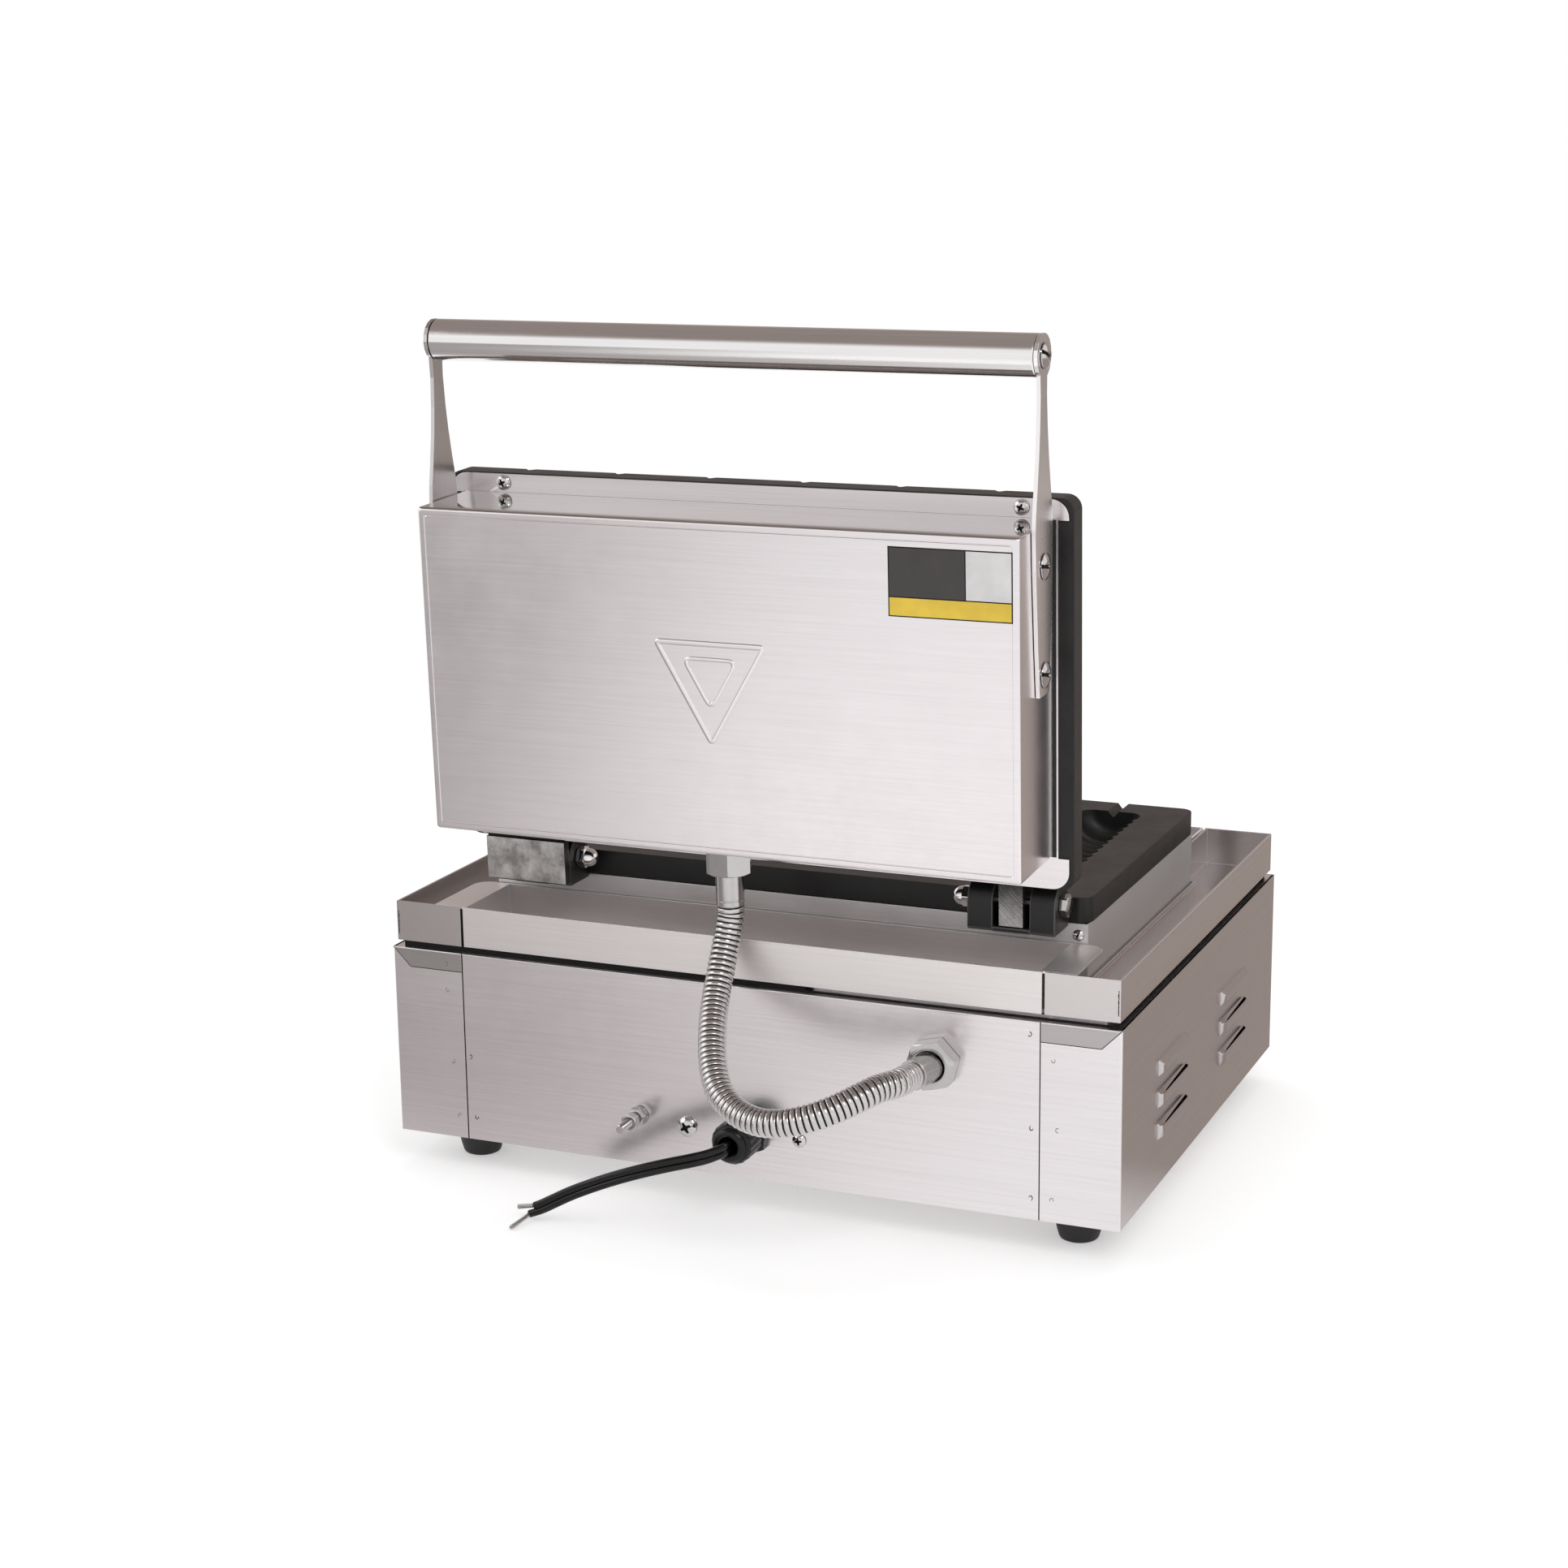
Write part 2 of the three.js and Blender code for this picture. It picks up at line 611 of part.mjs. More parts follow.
// The notch for a stick, through the plate's front edge into the cavity, as a V
function stickNotch(x) {
  const half = stick.halfWidth;
  const outline = [[x - half, overrun], [x - half, 0], [x, -stick.depth], [x + half, 0], [x + half, overrun]];
  return acrossY(outline, -plateDepth - overrun, -plateDepth + stick.length);
}

function mouldPlate() {
  const outline = roundedRectangle(-plateHalfWidth, plateHalfWidth, -plateDepth, 0, plate.corner);
  let solid = raised(outline, -plate.thickness, 0, plate.cornerSteps);
  const first = -(mould.count - 1) / 2 * mouldPitch;
  const centres = Array.from({ length: mould.count }, (_, i) => first + i * mouldPitch);
  const x = plateHalfWidth + overrun;
  const above = slab(-x, x, -plateDepth - overrun, overrun,
    -plate.thickness / 2, mould.halfWidth + plate.thickness);
  for (const centre of centres) {
    solid = solid.add(cavity(centre, mould.wall, false).subtract(above));
  }
  for (const centre of centres) {
    solid = solid.subtract(cavity(centre, 0, true)).subtract(stickNotch(centre));
  }
  return solid;
}

const basicPlate = mouldPlate();

// The lower plate carries a clevis at each side of its rear edge.
function clevis(sign) {
  const y = axisFromCentre;
  const z = axisHeight;
  const r = hinge.radius;
  const root = plateRear - plate.corner / 2;
  const low = z - r - hinge.barThickness - 2 * gap;
  const points = [[root, plateBottom], [plateRear + 2 * gap, plateBottom],
    [plateRear + 3 * gap, low], [y + r, low]];
  for (let i = 0; i <= hinge.roundSteps; i++) {
    const angle = i / hinge.roundSteps * Math.PI;
    points.push([y + r * Math.cos(angle), z + r * Math.sin(angle)]);
  }
  points.push([root, z]);
  const left = sign * hingeCentre - hinge.halfWidth;
  const right = sign * hingeCentre + hinge.halfWidth;
  const slotLeft = sign * hingeCentre - hinge.slotHalfWidth;
  const slotRight = sign * hingeCentre + hinge.slotHalfWidth;
  const slotFloor = low + hinge.barThickness;
  const slot = slab(slotLeft, slotRight, plateRear, y + r + overrun, slotFloor, z + r + overrun);
  const bore = rod(bolt.radius + gap, right - left + 2 * overrun, at(left - overrun, y, z), at(1, 0, 0));
  return acrossX(points, left, right).subtract(slot).subtract(bore);
}

let lowerPlate = basicPlate.translate([0, plateRear, plateTop]);
for (const side of sides) {
  lowerPlate = lowerPlate.add(clevis(side.sign));
}
add(base, 'lower_mould_plate', lowerPlate, castBlack);

// The upper plate is the same casting turned over, with a lug in each clevis. In the lid's frame its rear
// edge is at -plate.rearFromAxis and its mating face at the parting. The right lug also carries a wide
// stop block.

const upperPlateBack = parting + plate.thickness;

function lugOutline() {
  const r = lug.radius;
  const root = -plate.rearFromAxis - plate.corner / 2;
  const points = [[r, lug.rearFace]];
  for (let i = 0; i <= lug.roundSteps; i++) {
    const angle = -i / lug.roundSteps * Math.PI / 2;
    points.push([r * Math.cos(angle), r * Math.sin(angle)]);
  }
  points.push([-lug.neck, -lug.neck], [-plate.rearFromAxis, parting], [root, parting], [root, lug.rearFace]);
  return points;
}

function stopBlockSolid(sign, lugLeft, lugRight) {
  const left = sign * hingeCentre - hinge.halfWidth;
  const right = sign * hingeCentre + hinge.halfWidth;
  const b = stopBlock;
  const root = -plate.rearFromAxis - plate.corner / 2;
  return joined(
    slab(left, right, -b.rise, b.drop, b.front, b.rear),
    slab(lugLeft, lugRight, -b.rise, b.drop - gap, lug.rearFace - gap, b.front + gap),
    slab(left, right, root, -b.rise + gap, b.front, upperPlateBack),
  );
}

function lugSolid(sign) {
  const left = sign * hingeCentre - lug.halfWidth;
  const right = sign * hingeCentre + lug.halfWidth;
  let solid = acrossX(lugOutline().reverse(), left, right);
  if (sign > 0) {
    solid = solid.add(stopBlockSolid(sign, left, right));
  }
  const bore = rod(bolt.radius + gap, right - left + 2 * overrun, at(left - overrun, 0, 0), at(1, 0, 0));
  return solid.subtract(bore);
}

function frameScrewAt(side, z) {
  return at(side.sign * frameScrewAcross + frameScrew.offset, -frameScrewAlong, z);
}

let upperPlate = basicPlate.mirror([0, 0, 1]).translate([0, -plate.rearFromAxis, parting]);
for (const side of sides) {
  const back = frameScrewAt(side, upperPlateBack + overrun);
  upperPlate = upperPlate.add(lugSolid(side.sign));
  const hole = rod(frameScrew.radius + gap, frameScrew.shank + overrun, back, down, smallSegments);
  upperPlate = upperPlate.subtract(hole);
}
add(lidGroup, 'upper_mould_plate', upperPlate, castBlack);

// Hinge bolts: the head is on the outer side, the domed nut on the inner side.

// Each pair is a share of the dome's radius, for a radius and a height.
const domeShares = [[1, 0.2], [0.87, 0.65], [0.5, 1], [0, 1.15]];

function hingeBolt(side) {
  const face = side.sign * (hingeCentre + hinge.halfWidth + gap);
  const from = at(face, axisFromCentre, axisHeight);
  const shankFrom = at(face + side.sign * gap, axisFromCentre, axisHeight);
  const shank = 2 * hinge.halfWidth + 3 * gap + bolt.shankPast;
  const head = hexagon(bolt.headAcross, bolt.headHeight, bolt.headChamfer, from, at(side.sign, 0, 0));
  return head.add(rod(bolt.radius, shank, shankFrom, at(-side.sign, 0, 0)));
}

function hingeNut(side) {
  const inward = at(-side.sign, 0, 0);
  const face = side.sign * (hingeCentre - hinge.halfWidth - gap);
  const along = x => at(x, axisFromCentre, axisHeight);
  const r = bolt.domeRadius;
  const hex = hexagon(bolt.nutAcross, bolt.nutHeight, bolt.nutChamfer, along(face), inward);
  const profile = [[0, -gap], [r, -gap], ...domeShares.map(([out, rise]) => [r * out, r * rise])];
  const dome = turned(profile, along(face - side.sign * bolt.nutHeight), inward);
  const depth = bolt.shankPast + gap + overrun;
  const bore = rod(bolt.radius + gap, depth, along(face + side.sign * overrun), inward);
  return hex.add(dome).subtract(bore);
}

for (const side of sides) {
  add(base, `hinge_bolt_${side.name}`, hingeBolt(side), polished);
  add(base, `hinge_nut_${side.name}`, hingeNut(side), polished);
}

// Heating elements: a round sheathed rod bent to and fro under the moulds, with both tails turned
// away from the plate.

// The curve gives plain points only, because an extrusion asks for evenly spaced ones.
class RouteCurve extends THREE.Curve {
  constructor(points) {
    super();
    this.inner = new THREE.CatmullRomCurve3(points, false, 'centripetal');
  }

  getPoint(t, target = new THREE.Vector3()) {
    return this.inner.getPoint(t, target);
  }
}

function sweep(points, radius, steps, sides) {
  const corners = Array.from({ length: sides }, (_, i) => {
    const angle = i / sides * 2 * Math.PI;
    return [radius * Math.cos(angle), radius * Math.sin(angle)];
  });
  const extrudePath = new RouteCurve(points);
  return solidOf(new THREE.ExtrudeGeometry(shapeOf(corners), { steps, bevelEnabled: false, extrudePath }));
}

// One run under each mould, in the plane z = 0 of the element, its tails along the sign of z.
function elementSolid(sign) {
  const pitch = mouldPitch;
  const reach = mouldLength / 2 - element.inset;
  const b = element.bend;
  const tail = sign * element.tail;
  const first = -(mould.count - 1) / 2 * pitch;
  const last = -first;
  const points = [at(first, -reach, tail), at(first, -reach, tail / 2), at(first, -reach + b / 2, 0)];
  for (let run = 0; run < mould.count; run++) {
    const x = first + run * pitch;
    const direction = run % 2 === 0 ? 1 : -1;
    const straight = direction * (reach - 2 * b);
    points.push(at(x, -straight, 0), at(x, 0, 0), at(x, straight, 0));
    if (run < mould.count - 1) {
      const shoulder = direction * (reach - b / 4);
      points.push(at(x + b / 2, shoulder, 0));
      points.push(at(x + pitch / 2, direction * reach, 0));
      points.push(at(x + pitch - b / 2, shoulder, 0));
    }
  }
  const turnBack = mould.count % 2 === 0 ? -1 : 1;
  points.push(at(last, turnBack * (reach - b / 2), 0));
  points.push(at(last, turnBack * reach, tail / 2), at(last, turnBack * reach, tail));
  return sweep(points, element.radius, element.steps, element.sides);
}

const underMould = mould.depth + mould.wall + gap + element.radius;
const lowerElement = elementSolid(-1).translate([0, plateMiddle, plateTop - underMould]);
add(base, 'lower_heating_element', lowerElement, brushed);
const upperMiddle = -plate.rearFromAxis - plateDepth / 2;
const upperElement = elementSolid(1).translate([0, upperMiddle, parting + underMould]);
add(lidGroup, 'upper_heating_element', upperElement, brushed);

// Thermostat bulb under the lower plate, with its fine tube running down to the thermostat

function thermostatBulb() {
  const z = plateBottom - gap - bulb.radius;
  const b = bulb.bend;
  const end = plateMiddle - bulb.length / 2;
  const body = rod(bulb.radius, bulb.length, at(0, end, z), toRear, smallSegments);
  const stopY = frontFace + sheet + gap + control.post + control.depth + gap;
  const route = [
    at(0, end + gap, z),
    at(0, end - b / 2, z - bulb.radius / 2),
    at(b / 4, end - b, z - b),
    at(b / 2, end - b, boxBottom),
    at(knob.across / 2, end - 2 * b, casingTop - 2 * b),
    at(knob.across, stopY + 2 * b, knob.height + b),
    at(knob.across, stopY + b / 2, knob.height),
    at(knob.across, stopY, knob.height),
  ];
  return body.add(sweep(route, bulb.tubeRadius, bulb.steps, bulb.sides));
}
add(base, 'thermostat_bulb', thermostatBulb(), steel);

// Controls on the front panel

function knobSolid(x) {
  const front = frontFace - gap;
  const z = knob.height;
  const shaftIn = sheet + 2 * gap + control.post / 2;
  const round = knob.skirt / 2;
  const profile = [[0, -shaftIn], [knob.shaftRadius, -shaftIn], [knob.shaftRadius, 0], [knob.skirtRadius, 0],
    [knob.skirtRadius, round], [knob.radius, knob.skirt], [knob.radius, knob.length - round],
    [knob.radius - round, knob.length], [0, knob.length]];
  const half = knob.pointer / 2;
  const face = front - knob.length;
  const pointer = slab(x - half, x + half, face + gap, face - half,
    z + knob.radius / 4, z + knob.radius - round);
  return turned(profile, at(x, front, z), toFront).add(pointer);
}

function controlBody(x) {
  const back = frontFace + sheet + gap;
  const half = control.width / 2;
  const low = knob.height - control.height / 2;
  const near = back + control.post;
  const body = slab(x - half, x + half, near, near + control.depth, low, low + control.height);
  const from = at(x, back, knob.height);
  return body.add(ring(control.collarRadius, knob.shaftRadius + gap, control.post + gap, from, toRear));
}

function lampSolid(x) {
  const profile = [[0, -lamp.body], [lamp.radius, -lamp.body], [lamp.radius, 0], [lamp.bezelRadius, 0],
    [lamp.bezelRadius, lamp.bezel], [lamp.radius, lamp.bezel + gap],
    [lamp.lensRadius, lamp.bezel + lamp.dome - gap], [0, lamp.bezel + lamp.dome]];
  return turned(profile, at(x, frontFace - gap, lamp.height), toFront, boreSegments);
}

for (const one of knobs) {
  add(base, `${one.name}_knob`, knobSolid(one.x), blackPlastic);
  add(base, `${one.name}_body`, controlBody(one.x), ceramic);
}
for (const one of lamps) {
  add(base, `${one.name}_lamp`, lampSolid(one.x), one.material);
}

// Terminal block on the bottom pan, inside the rear panel

function terminalBlock() {
  const z0 = foot.height + sheet + gap;
  const y1 = rearFace - terminal.fromRear;
  const x0 = terminal.x - terminal.width / 2;
  let block = slab(x0, x0 + terminal.width, y1 - terminal.depth, y1, z0, z0 + terminal.height);
  const pitch = terminal.width / terminal.ways;
  for (let i = 0; i < terminal.ways; i++) {
    const x = x0 + (i + 0.5) * pitch;
    block = block.subtract(slab(x - terminal.slot / 2, x + terminal.slot / 2,
      y1 - terminal.depth / 3, y1 + overrun, z0 + terminal.height / 2, z0 + terminal.height + overrun));
  }
  return block;
}
add(base, 'terminal_block', terminalBlock(), ceramic);

// Cable gland: a hexagonal flange and threaded body through the panel, and a domed cap with the cord's hole

const outside = rearFace + gap;
const cordHole = cord.radius + gap;

function glandBody() {
  const back = sheet + 2 * gap + gland.flangeHeight;
  const length = back + gland.flangeHeight + gland.bodyLength;
  const on = y => at(gland.x, y, gland.height);
  const flange = hexagon(gland.flangeAcross, gland.flangeHeight, gland.flangeChamfer, on(outside), toRear);
  const neck = rod(gland.bodyRadius, length, on(outside - back), toRear);
  const bore = rod(cordHole, length + 2 * overrun, on(outside - back - overrun), toRear, boreSegments);
  return joined(flange, neck).subtract(bore);
}
add(base, 'cable_gland_body', glandBody(), blackPlastic);

const glandCapBack = outside + gland.flangeHeight + gland.bodyLength + gap;
const glandFront = glandCapBack + gland.capLength;

function glandCap() {
  const r = gland.capRadius;
  const k = gland.rounding;
  const corner = k * (1 - Math.SQRT1_2);
  const length = gland.capLength;
  const profile = [[cordHole, 0], [r, 0], [r, length - k], [r - corner, length - corner], [r - k, length],
    [cordHole, length], [cordHole, 0]];
  return turned(profile, at(gland.x, glandCapBack, gland.height), toRear);
}
add(base, 'cable_gland_cap', glandCap(), blackPlastic);

// Earth stud with its flange inside the panel, a nut with a washer face, and an outer nut

function onStud(y) {
  return at(stud.x, y, stud.height);
}

function earthStud() {
  const inner = sheet + 2 * gap + stud.washerThickness;
  const flange = rod(stud.flangeRadius, stud.washerThickness, onStud(outside - inner), toRear, boreSegments);
  return flange.add(rod(stud.radius, inner + stud.length, onStud(outside - inner), toRear, boreSegments));
}
add(base, 'earth_stud', earthStud(), polished);

function studNut(from, height) {
  const hex = hexagon(stud.nutAcross, height, stud.nutChamfer, onStud(from), toRear);
  const bore = rod(stud.radius + gap, height + 2 * overrun, onStud(from - overrun), toRear, boreSegments);
  return hex.subtract(bore);
}

function washerNut(from) {
  const bore = stud.radius + gap;
  const washer = ring(stud.flangeRadius, bore, stud.washerThickness, onStud(from), toRear, boreSegments);
  return studNut(from, stud.innerNut + stud.washerThickness).add(washer);
}
add(base, 'earth_nut_inner', washerNut(outside), polished);
const outerNutBack = outside + stud.washerThickness + stud.innerNut + stud.spacing;
add(base, 'earth_nut_outer', studNut(outerNutBack, stud.outerNut), polished);

for (const [name, kind] of [['rear_screw_wide', wideScrew], ['rear_screw_small', smallScrew]]) {
  add(base, name, screw(kind, at(kind.x, outside, kind.height), toRear), polished);
}

// Lower end of the conduit hose: a hexagonal nut on the panel and a plain sleeve through it

const nutFront = outside + hose.nutHeight;
const sleeveBend = at(hose.x, nutFront, hose.height);
const sleeveHeading = at(hose.sleeveAcross, hose.sleeveLength, hose.sleeveUp).normalize();
const sleeveEnd = sleeveBend.clone().addScaledVector(sleeveHeading, hose.sleeveLength);

function onHoseHole(y) {
  return at(hose.x, y, hose.height);
}

function hoseNut() {
  const h = hose;
  const hex = hexagon(h.nutAcross, h.nutHeight, h.nutChamfer, onHoseHole(outside), toRear, h.nutTurnDegrees);
  const bore = rod(h.sleeveRadius + gap, h.nutHeight + 2 * overrun, onHoseHole(outside - overrun), toRear);
  return hex.subtract(bore);
}
add(base, 'conduit_nut', hoseNut(), polished);

// The sleeve is straight through the panel and the nut, then leans with the hose.
function hoseSleeve() {
  const panelBack = rearFace - sheet - 2 * gap;
  const from = panelBack - hose.nutHeight;
  const leanBack = sleeveBend.clone().addScaledVector(sleeveHeading, -gap);
  const tube = (radius, past) => joined(
    rod(radius, nutFront - from + past, onHoseHole(from - past), toRear, boreSegments),
    rod(radius, hose.sleeveLength + gap + past, leanBack, sleeveHeading, boreSegments),
  );
  const collarRadius = hose.sleeveRadius + hose.nutChamfer;
  const collarLength = hose.nutHeight / 2;
  const collar = rod(collarRadius, collarLength, onHoseHole(panelBack - collarLength), toRear, boreSegments);
  return tube(hose.sleeveRadius, 0).add(collar).subtract(tube(hose.bore, overrun));
}
add(base, 'conduit_sleeve', hoseSleeve(), polished);

// Upper end of the conduit hose: a hexagonal fitting on the cover's rear wall, with a plain ferrule

const ferruleFrom = -coverRear + gap + lidFitting.length + gap;
const ferruleEnd = ferruleFrom + lidFitting.ferruleLength;

function onLidHole(y) {
  return at(lidFitting.x, y, lidFitting.height);
}

function lidHoseFitting() {
  const from = -coverRear + gap;
  const tail = sheet + 2 * gap + hose.nutChamfer;
  const f = lidFitting;
  const hex = hexagon(f.across, f.length, f.chamfer, onLidHole(from), toRear, f.turnDegrees);
  const neck = rod(lidFitting.ferruleRadius, tail + gap, onLidHole(from - tail), toRear);
  const length = lidFitting.length + tail + 2 * overrun;
  const bore = rod(hose.bore, length, onLidHole(from - tail - overrun), toRear, boreSegments);
  return hex.add(neck).subtract(bore);
}
add(lidGroup, 'conduit_lid_fitting', lidHoseFitting(), polished);

function lidFerrule() {
  return ring(lidFitting.ferruleRadius, hose.bore, lidFitting.ferruleLength, onLidHole(ferruleFrom), toRear);
}
add(lidGroup, 'conduit_ferrule', lidFerrule(), polished);

// The hose: its route from the sleeve to the ferrule, chosen by hand. Each point is x, the distance behind
// the rear face, and the height.
// It leaves the panel straight, hangs in a loop behind the machine, and rises straight into the ferrule.

const lidToBase = new THREE.Matrix4().makeRotationX(-radians(openDegrees));
lidToBase.setPosition(0, axisFromCentre, axisHeight);
const hoseStart = sleeveEnd.clone().addScaledVector(sleeveHeading, gap);
const hoseEnd = onLidHole(ferruleEnd + gap).applyMatrix4(lidToBase);
const intoFerrule = toFront.clone().transformDirection(lidToBase);

const hoseMiddle = [
  [-97, 54, 99.2],
  [-91.2, 61.5, 96.8],
  [-80.2, 71, 91.8],
  [-67.7, 77, 87.4],
  [-55, 79.5, 84.7],
  [-43, 78.5, 84],
  [-29.6, 74, 86.6],
  [-17.8, 66, 92.8],
  [-8.8, 53.3, 103.4],
  [-3.2, 40.5, 114.6],
  [0.4, 29.5, 125],
  [2.7, 20, 135.2],
  [3.4, 12.1, 145.4],
];

const hosePoints = [
  hoseStart,
  hoseStart.clone().addScaledVector(sleeveHeading, hose.radius),
  hoseStart.clone().addScaledVector(sleeveHeading, 2 * hose.radius),
  ...hoseMiddle.map(([x, y, z]) => at(x, rearFace + y, z)),
  hoseEnd.clone().addScaledVector(intoFerrule, -2 * hose.radius),
  hoseEnd.clone().addScaledVector(intoFerrule, -hose.radius),
  hoseEnd,
];

// Rings of points square to a curve. The result is a function that adds one ring and gives its first index.
function ringMaker(curve, frames, around, positions) {
  const frenet = curve.computeFrenetFrames(frames, false);
  return (share, radius) => {
    const centre = curve.getPointAt(share);
    const frameIndex = Math.round(share * frames);
    const first = positions.length / 3;
    for (let i = 0; i < around; i++) {
      const angle = i / around * 2 * Math.PI;
      const point = centre.clone()
        .addScaledVector(frenet.normals[frameIndex], radius * Math.cos(angle))
        .addScaledVector(frenet.binormals[frameIndex], radius * Math.sin(angle));
      positions.push(point.x, point.y, point.z);
    }
    return first;
  };
}

// Triangles between two rings of points, wound for an outer skin or, reversed, for a bore
function band(index, around, a, b, reversed) {
  for (let i = 0; i < around; i++) {
    const j = (i + 1) % around;
    if (reversed) {
      index.push(a + i, b + i, b + j, a + i, b + j, a + j);
    } else {
      index.push(a + i, b + j, b + i, a + i, a + j, b + j);
    }
  }
}

// A ribbed tube as one closed surface: an outer skin of two rings to each rib, and a plain bore.
function ribbedHose() {
  const curve = new THREE.CatmullRomCurve3(hosePoints, false, 'centripetal');
  curve.arcLengthDivisions = 8 * hose.ribCount;
  const positions = [];
  const index = [];
  const ringAt = ringMaker(curve, 4 * hose.ribCount, hose.around, positions);
  const outer = [];
  for (let half = 0; half <= 2 * hose.ribCount; half++) {
    outer.push(ringAt(half / (2 * hose.ribCount), half % 2 === 0 ? hose.grooveRadius : hose.radius));
  }
  const boreRings = Math.round(hose.ribCount / hose.ribsPerBoreRing);
  const inner = [];
  for (let i = 0; i <= boreRings; i++) {
    inner.push(ringAt(i / boreRings, hose.bore));
  }
  for (let i = 0; i + 1 < outer.length; i++) {
    band(index, hose.around, outer[i], outer[i + 1], false);
  }
  for (let i = 0; i + 1 < inner.length; i++) {
    band(index, hose.around, inner[i], inner[i + 1], true);
  }
  band(index, hose.around, inner[0], outer[0], false);
  band(index, hose.around, outer[outer.length - 1], inner[inner.length - 1], false);
  const g = new THREE.BufferGeometry();
  g.setAttribute('position', new THREE.BufferAttribute(Float32Array.from(positions), 3));
  g.setIndex(index);
  return g;
}

const hoseMesh = new THREE.Mesh(ribbedHose(), polished);
hoseMesh.name = 'conduit_hose';
base.add(hoseMesh);

// Power cord: out of the gland, round to the side, and down to the floor, with two bare wires at its end.
// The route is chosen by hand: each point is x, the distance behind the rear face, and the height.

const cordStart = at(gland.x, glandFront + gap, gland.height);

const cordMiddle = [
  [-2.6, 34, 46.6],
  [2.2, 39.5, 45.3],
  [9.5, 44, 43.8],
  [19, 47.3, 41.6],
  [30, 49.7, 38.4],
  [41.5, 51.4, 34.5],
  [53, 52.1, 29.9],
  [64.5, 51.9, 24.6],
  [75.5, 50.7, 18.9],
  [85.5, 49.3, 13],
  [94, 48, 8],
  [101.6, 47.1, 4.5],
];
const cordPoints = [
  cordStart,
  cordStart.clone().addScaledVector(toRear, cord.radius),
  ...cordMiddle.map(([x, y, z]) => at(x, rearFace + y, z)),
];
add(base, 'power_cord', sweep(cordPoints, cord.radius, cord.steps, cord.sides), blackPlastic);

// Each wire's heading is chosen by hand: both lie just over the floor.
const wires = [
  { name: 'cord_wire_long', heading: [0.1, 1, -0.12], across: 1.2, rise: -1, length: 18 },
  { name: 'cord_wire_short', heading: [1, 0.05, -0.2], across: -1.2, rise: 0.6, length: 8 },
];
const cordEnd = cordPoints[cordPoints.length - 1];
const cordHeading = cordEnd.clone().sub(cordPoints[cordPoints.length - 2]).normalize();
for (const wire of wires) {
  const heading = at(...wire.heading);
  const clear = gap + cord.wireRadius * Math.sin(heading.angleTo(cordHeading));
  const aside = at(0, wire.across, wire.rise).projectOnPlane(cordHeading);
  const from = cordEnd.clone().addScaledVector(cordHeading, clear).add(aside);
  add(base, wire.name, rod(cord.wireRadius, wire.length, from, heading, smallSegments), steel);
}

// Lid frame: a sheet on the back of the upper plate, with a band at its front and rear and a low wall inside

function frameWall() {
  const x = coverHalfWidth - frame.wallSideInset;
  const front = -coverFront + frame.wallFrontInset;
  const rear = -coverRear - frame.wallRearInset;
  const top = frameBottom + frame.wallHeight;
  const t = frame.sheet;
  const outer = slab(-x, x, front, rear, frameBottom, top);
  const hollow = slab(-x + t, x - t, front + t, rear - t, frameBottom - overrun, top + overrun);
  return { outer, hollow };
}

function lidFrame() {
  const low = frameBottom - overrun;
  const high = frameTop + overrun;
  const x = frameHalfWidth;
  const wall = frameWall();
  const outline = roundedRectangle(-x, x, -frameFront, -frameRear, frame.corner);
  let solid = raised(outline, frameBottom, frameTop, plate.cornerSteps);
  for (const side of sides) {
    solid = solid.subtract(slab(side.sign * (x - frame.notch), side.sign * (x + overrun),
      -frameFront + frame.bandFront, -frameRear - frame.bandRear, low, high));
  }
  solid = solid.add(wall.outer).subtract(wall.hollow);
  for (const side of sides) {
    const from = frameScrewAt(side, low);
    solid = solid.subtract(rod(frameScrew.radius + gap, high - low, from, up, smallSegments));
  }
  const blockHalf = hinge.halfWidth + gap;
  const left = hingeCentre - blockHalf;
  const right = hingeCentre + blockHalf;
  return solid.subtract(slab(left, right, -frameRear - gap, overrun, low, high));
}
add(lidGroup, 'lid_frame', lidFrame(), steel);

// Cover: a box open towards the plate, its outer edges rolled over

// The solid between two rounded rectangles, each drawn in by its own inset
function frustum(x, y0, y1, radius, inA, inB, zA, zB) {
  const loop = (inset, z) => {
    const outline = roundedRectangle(-x + inset, x - inset, y0 + inset, y1 - inset, radius);
    const points = outline.getPoints(cover.cornerSteps);
    const open = points.filter((p, i) => i === 0 || p.distanceTo(points[i - 1]) > weld);
    if (open[0].distanceTo(open[open.length - 1]) < weld) {
      open.pop();
    }
    return open.map(p => [p.x, p.y, z]);
  };
  const a = loop(inA, zA);
  const n = a.length;
  const positions = [...a, ...loop(inB, zB)].flat();
  const index = [];
  for (let i = 0; i < n; i++) {
    const j = (i + 1) % n;
    index.push(i, j, n + j, i, n + j, n + i);
  }
  for (let i = 1; i + 1 < n; i++) {
    index.push(0, i + 1, i);
    index.push(n, n + i, n + i + 1);
  }
  const g = new THREE.BufferGeometry();
  g.setAttribute('position', new THREE.BufferAttribute(Float32Array.from(positions), 3));
  g.setIndex(index);
  return solidOf(g);
}

function coverBox(inset, bottom) {
  const x = coverHalfWidth - inset;
  const y0 = -coverFront + inset;
  const y1 = -coverRear - inset;
  const top = cover.top - inset;
  const e = cover.edge - inset;
  const s = e * (1 - Math.SQRT1_2);
  const upright = raised(roundedRectangle(-x, x, y0, y1, e / 2), bottom, top - e, cover.cornerSteps);
  return joined(
    upright,
    frustum(x, y0, y1, e / 2, 0, s, top - e, top - s),
    frustum(x, y0, y1, e / 2, s, e, top - s, top),
  );
}

